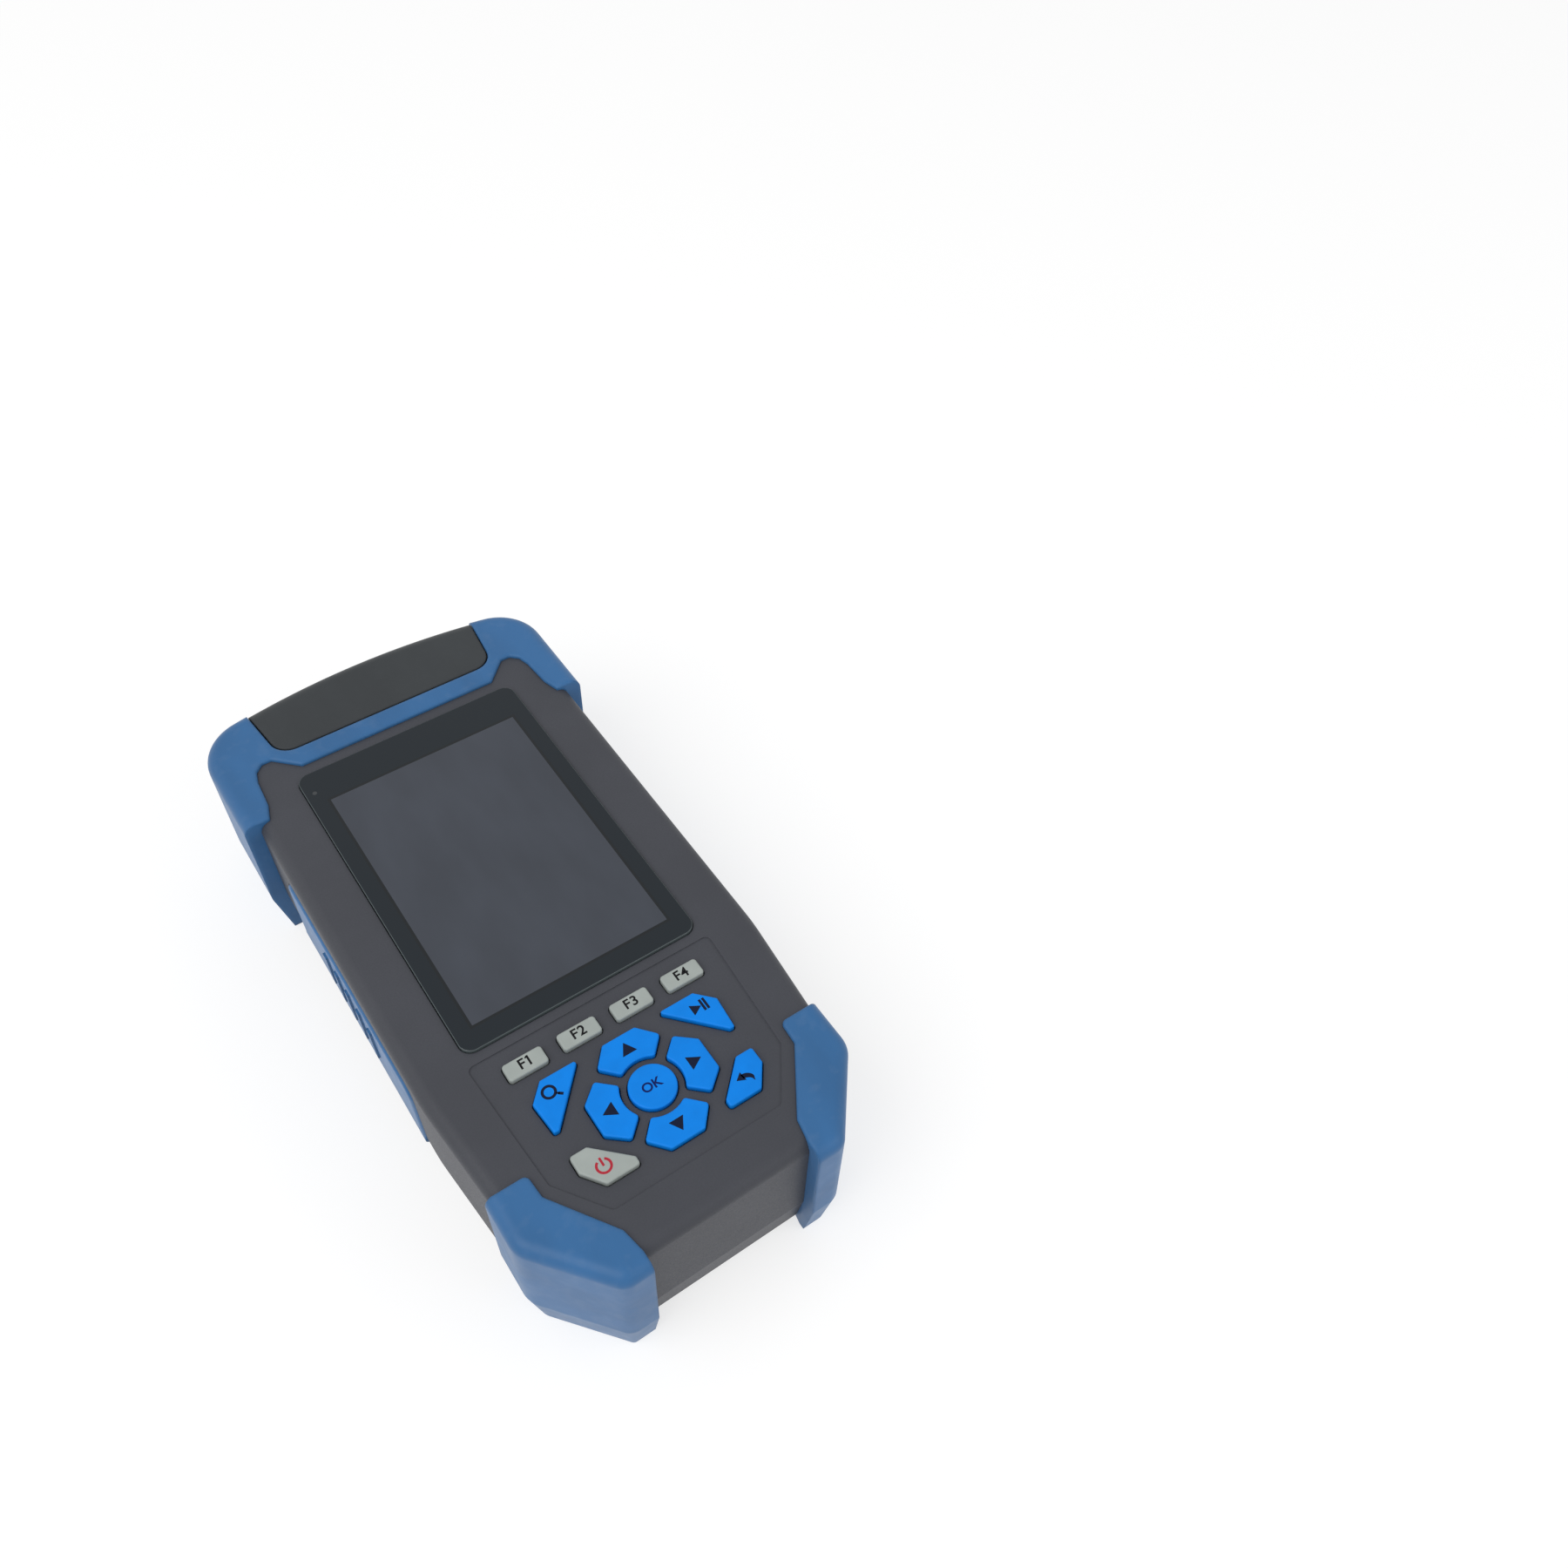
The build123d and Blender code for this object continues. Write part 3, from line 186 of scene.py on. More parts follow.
def finished(thing, finish, body, angle=PRINT_ANGLE):
    """Closes a new piece: normals, shading, material, and the body that it moves with."""
    settled(thing)
    bpy.ops.object.mode_set(mode="EDIT")
    bpy.ops.mesh.select_all(action="SELECT")
    bpy.ops.mesh.remove_doubles(threshold=MERGE_DISTANCE)
    bpy.ops.mesh.normals_make_consistent(inside=False)
    bpy.ops.object.mode_set(mode="OBJECT")
    bpy.ops.object.shade_smooth_by_angle(angle=math.radians(angle))
    thing.data.materials.clear()
    thing.data.materials.append(finish)
    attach(thing, body)
    return thing


def dressed(node_names, finish):
    """Gives the solid model's own pieces their finish."""
    for name in node_names:
        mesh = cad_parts[name].data
        mesh.materials.clear()
        mesh.materials.append(finish)


def from_screen(x, y):
    """A place on the front, given in millimetres from the middle of the cover glass."""
    return x * MM, SCREEN_Y + y * MM


def spun_band(name, centre, radius, width, depth, start, sweep):
    """A flat band along an arc in the plane of the front, from start through sweep, in degrees."""
    turn = math.radians(start)
    place = Vector((centre[0] + radius * math.cos(turn), centre[1] + radius * math.sin(turn), centre[2]))
    only(None)
    bpy.ops.mesh.primitive_plane_add(size=1.0, location=place, rotation=(math.pi / 2, 0.0, turn))
    band = started(name)
    band.scale = (width, depth, 1.0)
    settled(band)
    bpy.ops.object.mode_set(mode="EDIT")
    bpy.ops.mesh.select_all(action="SELECT")
    bpy.ops.mesh.delete(type="ONLY_FACE")
    bpy.ops.mesh.select_all(action="SELECT")
    fewest_steps, degrees_per_step = 8, 7.5
    steps = max(fewest_steps, int(abs(sweep) / degrees_per_step))
    bpy.ops.mesh.spin(steps=steps, angle=-math.radians(sweep), center=centre, axis=(0.0, 0.0, 1.0))
    bpy.ops.mesh.select_all(action="SELECT")
    bpy.ops.mesh.remove_doubles(threshold=MERGE_DISTANCE)
    if abs(sweep) < FULL_TURN:
        bpy.ops.mesh.select_all(action="DESELECT")
        bpy.ops.mesh.select_mode(type="EDGE")
        bpy.ops.mesh.select_non_manifold()
        bpy.ops.mesh.edge_face_add()
    bpy.ops.object.mode_set(mode="OBJECT")
    return band


def raised(piece, low, high, rounding):
    """Rounds the corners of a flat outline and gives it a thickness."""
    bpy.ops.object.mode_set(mode="EDIT")
    bpy.ops.mesh.select_all(action="SELECT")
    if rounding:
        bpy.ops.mesh.bevel(offset=rounding, segments=3, affect="VERTICES")
        bpy.ops.mesh.select_all(action="SELECT")
    bpy.ops.mesh.extrude_region_move(TRANSFORM_OT_translate={"value": (0.0, 0.0, high - low)})
    bpy.ops.object.mode_set(mode="OBJECT")
    return piece


def flat_triangle(name, base_middle, base, length, turn, low, high, rounding=0.12 * MM):
    """A thin triangle whose base has its middle at a place. It points up the front, turned by an angle."""
    only(None)
    bpy.ops.mesh.primitive_circle_add(vertices=3, radius=1.0, fill_type="NGON")
    piece = started(name)
    # The circle gives a triangle 1.5 high and the root of 3 wide, with its middle a third of the way up
    piece.scale = (base / math.sqrt(3), length / 1.5, 1.0)
    piece.rotation_euler = (0.0, 0.0, turn)
    piece.location = (
        base_middle[0] - math.sin(turn) * length / 3,
        base_middle[1] + math.cos(turn) * length / 3,
        low,
    )
    return raised(settled(piece), low, high, rounding)


def flat_bar(name, centre, length, width, turn, low, high, rounding=0.08 * MM):
    """A thin bar about a centre, its length along the front's width before it is turned by an angle."""
    only(None)
    bpy.ops.mesh.primitive_plane_add(size=1.0)
    piece = started(name)
    piece.scale = (length, width, 1.0)
    piece.rotation_euler = (0.0, 0.0, turn)
    piece.location = (centre[0], centre[1], low)
    return raised(settled(piece), low, high, rounding)


def printed_word(name, word, height, centre, low, high, bold, spacing):
    """Letters as a thin solid of the given height, with strokes thickened by a share of their size."""
    only(None)
    bpy.ops.object.text_add(location=(0.0, 0.0, 0.0))
    letters = bpy.context.object
    letters.data.body = word
    letters.data.size = 1.0
    letters.data.extrude = 0.5
    letters.data.resolution_u = 6
    letters.data.offset = bold
    letters.data.space_character = spacing
    bpy.ops.object.convert(target="MESH")
    piece = started(name)
    size = piece.dimensions
    scale = height / size.y
    corner = Vector(piece.bound_box[0])
    piece.scale = (scale, scale, (high - low) / size.z)
    piece.location = (
        centre[0] - scale * (corner.x + size.x / 2),
        centre[1] - scale * (corner.y + size.y / 2),
        (low + high) / 2,
    )
    return settled(piece)


# Material helpers


def node(tree, kind, inputs=None, **settings):
    """A shader node with its settings and its sockets, each socket a value or another node's output."""
    made = tree.nodes.new(kind)
    for key, value in settings.items():
        setattr(made, key, value)
    for key, value in (inputs or {}).items():
        if isinstance(value, bpy.types.NodeSocket):
            tree.links.new(value, made.inputs[key])
        else:
            made.inputs[key].default_value = value
    return made


def new_finish(name, colour, roughness, metallic=0.0, specular=0.5):
    """An empty finish: its material, its node tree, its shader and the piece's own coordinates."""
    material = bpy.data.materials.new(name)
    material.use_nodes = True
    tree = material.node_tree
    shader = tree.nodes["Principled BSDF"]
    shader.inputs["Base Color"].default_value = (*colour, 1.0)
    shader.inputs["Roughness"].default_value = roughness
    shader.inputs["Metallic"].default_value = metallic
    shader.inputs["Specular IOR Level"].default_value = specular
    coords = node(tree, "ShaderNodeTexCoord").outputs["Object"]
    return material, tree, shader, coords


def grain(tree, coords, size, detail=3.0, stretch=(1.0, 1.0, 1.0)):
    """Even noise whose marks are about as large as size, in metres."""
    mapped = node(tree, "ShaderNodeMapping", {"Vector": coords, "Scale": stretch})
    noise = node(tree, "ShaderNodeTexNoise",
                 {"Vector": mapped.outputs["Vector"], "Scale": 1.0 / size, "Detail": detail})
    return noise.outputs["Fac"]


def spread(tree, value, low, high, out_low=0.0, out_high=1.0):
    """A value brought from one range to another, held at its ends."""
    ranges = {"Value": value, "From Min": low, "From Max": high, "To Min": out_low, "To Max": out_high}
    return node(tree, "ShaderNodeMapRange", ranges).outputs["Result"]


def combined(tree, first, second, operation="ADD"):
    """One number worked out from two, each a value or another node's output."""
    return node(tree, "ShaderNodeMath", {0: first, 1: second}, operation=operation).outputs["Value"]


def blended(tree, share, first, second):
    """Two colours mixed by a share. Each is a colour or another node's output."""
    mix = node(tree, "ShaderNodeMix", {"Factor": share}, data_type="RGBA")
    for socket, value in ((mix.inputs[MIX_FIRST], first), (mix.inputs[MIX_SECOND], second)):
        if isinstance(value, bpy.types.NodeSocket):
            tree.links.new(value, socket)
        else:
            socket.default_value = (*value, 1.0)
    return mix.outputs[MIX_RESULT]


def shade(colour, share):
    """A colour made darker or lighter."""
    return tuple(min(1.0, part * share) for part in colour)


def drifting(tree, noise, colour, darker, lighter):
    """A colour that drifts with slow noise between two shades of it."""
    return blended(tree, spread(tree, noise, *SLOW_NOISE), shade(colour, darker), shade(colour, lighter))


def part_of(tree, vector, axis):
    """One axis of a place or of a direction."""
    return node(tree, "ShaderNodeSeparateXYZ", {"Vector": vector}).outputs[axis]


def distance_from(tree, coords, place):
    """How far a point lies from a fixed place, in metres."""
    return node(tree, "ShaderNodeVectorMath", {0: coords, 1: place}, operation="DISTANCE").outputs["Value"]


def waves(tree, distance, pitch):
    """A wave from -1 to 1 that comes back at every pitch along a distance."""
    turns = combined(tree, distance, 2 * math.pi / pitch, "MULTIPLY")
    return node(tree, "ShaderNodeMath", {0: turns}, operation="SINE").outputs["Value"]


def soft_normal(tree, radius):
    """A normal that rounds the hard edges of a solid."""
    return node(tree, "ShaderNodeBevel", {"Radius": radius}, samples=6).outputs["Normal"]


def edge_mask(tree, rounded):
    """How far a point lies on a rounded edge: 0 on flats, 1 in the middle of the edge."""
    flat_cosine, edge_cosine = 0.995, 0.85
    flat = node(tree, "ShaderNodeNewGeometry").outputs["Normal"]
    facing = node(tree, "ShaderNodeVectorMath", {0: rounded, 1: flat}, operation="DOT_PRODUCT")
    return spread(tree, facing.outputs["Value"], flat_cosine, edge_cosine)


def relief(tree, shader, height, depth, normal=None):
    """Raises a pattern by a depth in metres, over a normal that may already be rounded."""
    inputs = {"Height": height, "Distance": depth, "Strength": 1.0}
    if normal is not None:
        inputs["Normal"] = normal
    tree.links.new(node(tree, "ShaderNodeBump", inputs).outputs["Normal"], shader.inputs["Normal"])


def colour_from(tree, shader, colour):
    """Takes the shader's colour from another node's output."""
    tree.links.new(colour, shader.inputs["Base Color"])


def roughness_from(tree, shader, value):
    """Takes the shader's roughness from another node's output."""
    tree.links.new(value, shader.inputs["Roughness"])


def directly_seen(tree):
    """1 where the camera sees a thing, also in a mirror or through glass, and 0 where it only gives light."""
    path = node(tree, "ShaderNodeLightPath").outputs
    seen = combined(tree, path["Is Camera Ray"], path["Is Glossy Ray"], "MAXIMUM")
    return combined(tree, seen, path["Is Transmission Ray"], "MAXIMUM")


# Finishes


def moulded_plastic(name, colour, roughness, grain_size=0.35 * MM, edge=0.25 * MM, depth=0.012 * MM):
    """Spark-textured moulding: fine even grain, faint cloudiness, a painted highlight along the rounded
    edges.
    """
    material, tree, shader, coords = new_finish(name, colour, roughness, specular=0.3)
    rounded = soft_normal(tree, edge)
    cloud = grain(tree, coords, 18 * MM, 4.0)
    skin = grain(tree, coords, grain_size, 2.0)
    tone = drifting(tree, cloud, colour, 0.94, 1.06)
    fine = blended(tree, spread(tree, skin, *FINE_NOISE, 0.0, 0.35), tone, shade(colour, 0.82))
    # Painted highlight: the rounded edges are made lighter in colour, where they would catch the light.
    painted_edge_highlight = combined(tree, edge_mask(tree, rounded), 0.35, "MULTIPLY")
    colour_from(tree, shader, blended(tree, painted_edge_highlight, fine, shade(colour, 1.5)))
    roughness_from(tree, shader, spread(tree, skin, *FINE_NOISE, roughness - 0.05, roughness + 0.06))
    relief(tree, shader, skin, depth, rounded)
    return material


def satin_rubber(name, colour, roughness=0.42, edge=1.2 * MM, depth=0.008 * MM, sheen=0.05, dust_share=0.04):
    """Soft moulded rubber: faint flow marks, very fine skin, dust in the duller places, a painted highlight
    along the rounded edges.
    """
    material, tree, shader, coords = new_finish(name, colour, roughness, specular=0.3)
    shader.inputs["Sheen Weight"].default_value = sheen
    shader.inputs["Sheen Roughness"].default_value = 0.4
    rounded = soft_normal(tree, edge)
    flow = grain(tree, coords, 12 * MM, 3.0, (1.0, 0.35, 1.0))
    skin = grain(tree, coords, 0.22 * MM, 2.0)
    dust, dust_colour = grain(tree, coords, 3.5 * MM, 5.0), (0.55, 0.58, 0.6)
    tone = drifting(tree, flow, colour, 0.92, 1.07)
    dusty = blended(tree, spread(tree, dust, 0.55, 0.8, 0.0, dust_share), tone, dust_colour)
    # Painted highlight: the rounded edges are made lighter in colour, where they would catch the light.
    light = combined(tree, edge_mask(tree, rounded), 0.2, "MULTIPLY")
    colour_from(tree, shader, blended(tree, light, dusty, shade(colour, 1.35)))
    roughness_from(tree, shader, spread(tree, dust, 0.35, 0.75, roughness - 0.04, roughness + 0.05))
    relief(tree, shader, skin, depth, rounded)
    return material


def key_silicone(name, colour):
    """Silicone key caps: even colour, painted shade down the sides, satin."""
    material, tree, shader, coords = new_finish(name, colour, 0.4, specular=0.15)
    rounded = soft_normal(tree, 0.2 * MM)
    skin = grain(tree, coords, 0.18 * MM, 2.0)
    tone = drifting(tree, grain(tree, coords, 5 * MM, 3.0), colour, 0.96, 1.04)
    # Painted shade: the sides of the keys are darker towards the bottom, where they stand in the keypad's
    # recess.
    painted_shade_low, painted_shade_top = KEY_TOP - 2.0 * MM, KEY_TOP - 0.5 * MM
    above_painted_shade = spread(tree, part_of(tree, coords, "Z"), painted_shade_low, painted_shade_top)
    colour_from(tree, shader, blended(tree, above_painted_shade, shade(colour, 0.62), tone))
    roughness_from(tree, shader, spread(tree, skin, *FINE_NOISE, 0.36, 0.46))
    relief(tree, shader, skin, 0.006 * MM, rounded)
    return material


def printed_ink(name, colour):
    """Screen-printed ink with a slightly uneven film."""
    material, tree, shader, coords = new_finish(name, colour, 0.45, specular=0.1)
    film = grain(tree, coords, 0.25 * MM, 3.0)
    colour_from(tree, shader, blended(tree, spread(tree, film, 0.35, 0.7), colour, shade(colour, 1.3)))
    roughness_from(tree, shader, spread(tree, film, *FINE_NOISE, 0.38, 0.52))
    relief(tree, shader, film, 0.004 * MM)
    return material


def brushed_metal(name, colour, roughness=0.3, stretch=(0.08, 1.0, 1.0), mark=0.3 * MM):
    """Turned or rolled metal: marks drawn out along one way, small stains."""
    material, tree, shader, coords = new_finish(name, colour, roughness, metallic=1.0)
    rounded = soft_normal(tree, 0.12 * MM)
    marks = grain(tree, coords, mark, 4.0, stretch)
    stain = spread(tree, grain(tree, coords, 2.5 * MM, 5.0), 0.45, 0.75, 0.0, 0.5)
    colour_from(tree, shader, blended(tree, stain, colour, shade(colour, 0.75)))
    roughness_from(tree, shader, spread(tree, marks, *FINE_NOISE, roughness - 0.08, roughness + 0.14))
    relief(tree, shader, marks, 0.006 * MM, rounded)
    return material


def threaded_metal(name, colour, pitch=0.75 * MM):
    """Nickel-plated barrel with a fine thread along it, with painted shade in the thread's grooves."""
    material, tree, shader, coords = new_finish(name, colour, 0.28, metallic=1.0)
    rounded = soft_normal(tree, 0.1 * MM)
    thread = waves(tree, part_of(tree, coords, "Y"), pitch)
    marks = grain(tree, coords, 0.2 * MM, 3.0)
    height = combined(tree, spread(tree, thread, -1.0, 1.0), combined(tree, marks, 0.12, "MULTIPLY"))
    # Painted shade: the thread's grooves are darkened in colour.
    painted_groove_shade = spread(tree, thread, -1.0, 0.2, 0.45, 0.0)
    colour_from(tree, shader, blended(tree, painted_groove_shade, colour, shade(colour, 0.35)))
    roughness_from(tree, shader, spread(tree, marks, *FINE_NOISE, 0.2, 0.36))
    relief(tree, shader, height, 0.12 * MM, rounded)
    return material


def lens_glass(name, border, display, dot, edge):
    """Cover glass printed black behind, with the display's window left clear, a small indicator place, and a
    painted highlight along its rounded rim.
    """
    material, tree, shader, coords = new_finish(name, border, 0.045, specular=0.35)
    rounded = soft_normal(tree, 0.1 * MM)
    across, along = part_of(tree, coords, "X"), part_of(tree, coords, "Y")
    sizes = bpy.context.scene.otdr_sizes

    def between(value, low, high, blur=0.04 * MM):
        """1 between two places and 0 outside them."""
        return combined(tree, spread(tree, value, low - blur, low + blur),
                        spread(tree, value, high + blur, high - blur), "MULTIPLY")

    def window(margin):
        """The display's window, made larger on all sides by a margin."""
        half_width = sizes.window_width / 2 + margin
        low, high = SCREEN_Y + sizes.window_low - margin, SCREEN_Y + sizes.window_high + margin
        return combined(tree, between(across, -half_width, half_width), between(along, low, high), "MULTIPLY")

    cells = grain(tree, coords, 9 * MM, 2.0, (1.0, 0.4, 1.0))
    picture = blended(tree, spread(tree, cells, *FINE_NOISE), shade(display, 0.9), shade(display, 1.08))
    behind = blended(tree, window(0.7 * MM), border, shade(border, 0.5))
    printed = blended(tree, window(0.0), behind, picture)
    indicator = Vector((*from_screen(*INDICATOR_PLACE), LENS_HIGH.z))
    spot = spread(tree, distance_from(tree, coords, indicator), 0.6 * MM, 0.5 * MM)
    # Painted highlight: where the normal tilts away from straight up, on the glass's rounded rim, the colour
    # turns to the lighter edge colour.
    upright = part_of(tree, node(tree, "ShaderNodeNewGeometry").outputs["Normal"], "Z")
    rim_highlight_share = spread(tree, upright, 0.96, 0.8)
    colour_from(tree, shader, blended(tree, rim_highlight_share, blended(tree, spot, printed, dot), edge))
    smear = grain(tree, coords, 14 * MM, 4.0)
    roughness_from(tree, shader, spread(tree, smear, 0.45, 0.8, 0.035, 0.11))
    tree.links.new(rounded, shader.inputs["Normal"])
    return material


def circuit_board(name, colour):
    """Green board: solder mask over copper lines, pads showing tin."""
    material, tree, shader, coords = new_finish(name, colour, 0.35)
    grid = {"Vector": coords, "Scale": 400.0, "Mortar Size": 0.06, "Brick Width": 1.6, "Row Height": 0.5}
    lines = node(tree, "ShaderNodeTexBrick", grid, offset=0.3, squash=0.7).outputs["Fac"]
    pads = node(tree, "ShaderNodeTexVoronoi", {"Vector": coords, "Scale": 260.0}).outputs["Distance"]
    tin, tin_colour = spread(tree, pads, 0.16, 0.12), (0.7, 0.68, 0.6)
    tracks = blended(tree, lines, colour, shade(colour, 1.7))
    colour_from(tree, shader, blended(tree, tin, tracks, tin_colour))
    tree.links.new(tin, shader.inputs["Metallic"])
    relief(tree, shader, lines, 0.03 * MM)
    return material


def wound_fibre(name, colour, pitch):
    """Fibre wound in close turns round the spool."""
    material, tree, shader, coords = new_finish(name, colour, 0.45)
    middle = (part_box("fibre_spool")[0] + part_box("fibre_spool")[1]) / 2
    strands = waves(tree, distance_from(tree, coords, middle), pitch)
    colour_from(tree, shader, drifting(tree, grain(tree, coords, 4 * MM, 3.0), colour, 0.9, 1.0))
    relief(tree, shader, strands, 0.03 * MM, soft_normal(tree, 0.2 * MM))
    return material


# Settings


class OTDRColours(bpy.types.PropertyGroup):
    """Colours of the finishes."""

    body: bpy.props.FloatVectorProperty(
        name="Housing", description="Moulded housing", subtype="COLOR", size=3, min=0.0, max=1.0,
        default=(0.055, 0.058, 0.070))
    bumper: bpy.props.FloatVectorProperty(
        name="Bumpers", description="Rubber bumpers and side covers", subtype="COLOR", size=3, min=0.0,
        max=1.0, default=(0.035, 0.140, 0.330))
    cap: bpy.props.FloatVectorProperty(
        name="Connector Cap", description="Rubber cap over the optical ports", subtype="COLOR", size=3,
        min=0.0, max=1.0, default=(0.032, 0.037, 0.041))
    key_blue: bpy.props.FloatVectorProperty(
        name="Blue Keys", description="Arrow, round and corner keys", subtype="COLOR", size=3, min=0.0,
        max=1.0, default=(0.003, 0.238, 0.840))
    key_pale: bpy.props.FloatVectorProperty(
        name="Pale Keys", description="Function keys and power key", subtype="COLOR", size=3, min=0.0,
        max=1.0, default=(0.385, 0.425, 0.405))
    ink: bpy.props.FloatVectorProperty(
        name="Key Ink", description="Print on the keys", subtype="COLOR", size=3, min=0.0, max=1.0,
        default=(0.006, 0.010, 0.030))
    letter_ink: bpy.props.FloatVectorProperty(
        name="Letter Ink", description="Letters on the function keys", subtype="COLOR", size=3, min=0.0,
        max=1.0, default=(0.007, 0.007, 0.008))
    blue_ink: bpy.props.FloatVectorProperty(
        name="Round Key Ink", description="Letters on the round key", subtype="COLOR", size=3, min=0.0,
        max=1.0, default=(0.004, 0.012, 0.100))
    power_ink: bpy.props.FloatVectorProperty(
        name="Power Ink", description="Print on the power key", subtype="COLOR", size=3, min=0.0, max=1.0,
        default=(0.400, 0.028, 0.045))
    lens_border: bpy.props.FloatVectorProperty(
        name="Lens Border", description="Print behind the cover glass", subtype="COLOR", size=3, min=0.0,
        max=1.0, default=(0.000, 0.006, 0.012))
    display: bpy.props.FloatVectorProperty(
        name="Display", description="Display switched off, seen through the glass", subtype="COLOR", size=3,
        min=0.0, max=1.0, default=(0.046, 0.054, 0.072))


class OTDRSizes(bpy.types.PropertyGroup):
    """Sizes of the printed and small pieces."""

    window_width: bpy.props.FloatProperty(
        name="Window Width", description="Width of the display's window in the glass", unit="LENGTH",
        default=49.6 * MM, min=10 * MM, max=58 * MM)
    window_low: bpy.props.FloatProperty(
        name="Window Bottom", description="Lower edge of the window, from the middle of the glass",
        unit="LENGTH", default=-40.0 * MM)
    window_high: bpy.props.FloatProperty(
        name="Window Top", description="Upper edge of the window, from the middle of the glass",
        unit="LENGTH", default=34.9 * MM)
    letter_height: bpy.props.FloatProperty(
        name="Letter Height", description="Height of the letters on the keys", unit="LENGTH",
        default=2.5 * MM, min=1 * MM, max=4 * MM)
    arrow_width: bpy.props.FloatProperty(
        name="Arrow Width", description="Width of the triangles on the arrow keys", unit="LENGTH",
        default=3.5 * MM, min=1 * MM, max=5 * MM)
    stroke: bpy.props.FloatProperty(
        name="Stroke", description="Width of the lines of the symbols", unit="LENGTH", default=0.5 * MM,
        min=0.2 * MM, max=1 * MM)
    ink_rise: bpy.props.FloatProperty(
        name="Ink Rise", description="How far the print stands over the keys", unit="LENGTH",
        default=0.015 * MM, min=0.005 * MM, max=0.1 * MM)


class OTDRStage(bpy.types.PropertyGroup):
    """Camera, lamps and floor."""

    focal_length: bpy.props.FloatProperty(
        name="Focal Length", description="Focal length of the camera, in millimetres", default=31.55,
        min=10.0, max=200.0)
    world_light: bpy.props.FloatProperty(
        name="Surround Light", description="Strength of the even light from all round", default=0.56,
        min=0.0, max=2.0)
    lamp_power: bpy.props.FloatProperty(
        name="Lamp Power", description="Power of the large lamp above, in watts", default=8.0, min=0.0,
        max=100.0)


# Operators


class OTDR_OT_housing(bpy.types.Operator):
    """Finish of the housing shells, the battery door and the kickstand"""

    bl_idname = "otdr.housing"
    bl_label = "Housing Finish"

    def execute(self, context):
        colour = context.scene.otdr_colours.body
        dressed(["front_shell", "rear_shell", "battery_door", "kickstand"],
                moulded_plastic("housing_plastic", tuple(colour), 0.5))
        dressed(["left_port_panel"], moulded_plastic("panel_plastic", (0.02, 0.02, 0.022), 0.45))
        return {"FINISHED"}


class OTDR_OT_rubber(bpy.types.Operator):
    """Finish of the bumpers, the side covers and the connector cap"""

    bl_idname = "otdr.rubber"
    bl_label = "Rubber Finish"

    def execute(self, context):
        colours = context.scene.otdr_colours
        dressed(["head_bumper", "foot_bumper_left", "foot_bumper_right", "left_port_cover",
                 "right_side_grip"], satin_rubber("bumper_rubber", tuple(colours.bumper)))
        dressed(["connector_cap"],
                satin_rubber("cap_rubber", tuple(colours.cap), 0.5, sheen=0.02, dust_share=0.008))
        dressed(["lens_gasket"], satin_rubber("gasket_foam", (0.02, 0.02, 0.02), 0.8, sheen=0.0))
        dressed(["keypad_membrane"], satin_rubber("membrane_silicone", (0.3, 0.3, 0.31), 0.5, sheen=0.0))
        return {"FINISHED"}


class OTDR_OT_screen(bpy.types.Operator):
    """Finish of the cover glass and of the display behind it"""

    bl_idname = "otdr.screen"
    bl_label = "Screen Finish"

    def execute(self, context):
        colours = context.scene.otdr_colours
        # The second colour is a painted highlight along the cover glass's rounded rim.
        indicator_colour, rim_highlight_colour = (0.045, 0.05, 0.055), (0.08, 0.1, 0.105)
        glass = lens_glass("cover_glass", tuple(colours.lens_border), tuple(colours.display),
                           indicator_colour, rim_highlight_colour)
        dressed(["screen_lens"], glass)
        dressed(["lcd_module"], moulded_plastic("display_back", tuple(colours.display), 0.35))
        return {"FINISHED"}


class OTDR_OT_keys(bpy.types.Operator):
    """Finish of the keys"""

    bl_idname = "otdr.keys"
    bl_label = "Key Finish"

    def execute(self, context):
        colours = context.scene.otdr_colours
        blue_keys = [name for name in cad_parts
                     if name.startswith("key_") and name not in [*PALE_KEYS, "key_domes"]]
        dressed(PALE_KEYS, key_silicone("pale_silicone", tuple(colours.key_pale)))
        dressed(blue_keys, key_silicone("blue_silicone", tuple(colours.key_blue)))
        return {"FINISHED"}


class OTDR_OT_inner(bpy.types.Operator):
    """Finish of the board, the optical engine, the spool, the battery, the ports and the pins"""

    bl_idname = "otdr.inner"
    bl_label = "Inner Finish"

    def execute(self, context):
        dressed(["main_pcb"], circuit_board("board_mask", (0.02, 0.14, 0.06)))
        dressed(["key_domes"], brushed_metal("dome_steel", (0.7, 0.7, 0.7), 0.25))
        dressed(["optical_engine"], brushed_metal("milled_aluminium", (0.62, 0.62, 0.64), 0.35))
        dressed(["fibre_spool"], wound_fibre("spool_fibre", (0.7, 0.68, 0.4), 0.9 * MM))
        dressed(["battery_pack"], satin_rubber("battery_sleeve", (0.03, 0.1, 0.32), 0.25, sheen=0.0))
        dressed(["cap_hinge_pin", "left_cover_pin"], brushed_metal("pin_steel", (0.55, 0.55, 0.56), 0.3))
        dressed([*NETWORK_JACKS, "usb_jack"], brushed_metal("tinned_sheet", (0.62, 0.62, 0.63), 0.32))
        dressed(OPTICAL_PORTS, threaded_metal("port_nickel", (0.62, 0.61, 0.58)))
        return {"FINISHED"}


def legend_levels():
    """Bottom of the print, a little inside the keys, and its top."""
    root = 0.2 * MM
    return KEY_TOP - root, KEY_TOP + bpy.context.scene.otdr_sizes.ink_rise


def key_ink(name="key_ink", setting="ink"):
    """A print of one colour setting, made once and shared by the pieces that it is on."""
    found = bpy.data.materials.get(name)
    return found or printed_ink(name, tuple(getattr(bpy.context.scene.otdr_colours, setting)))


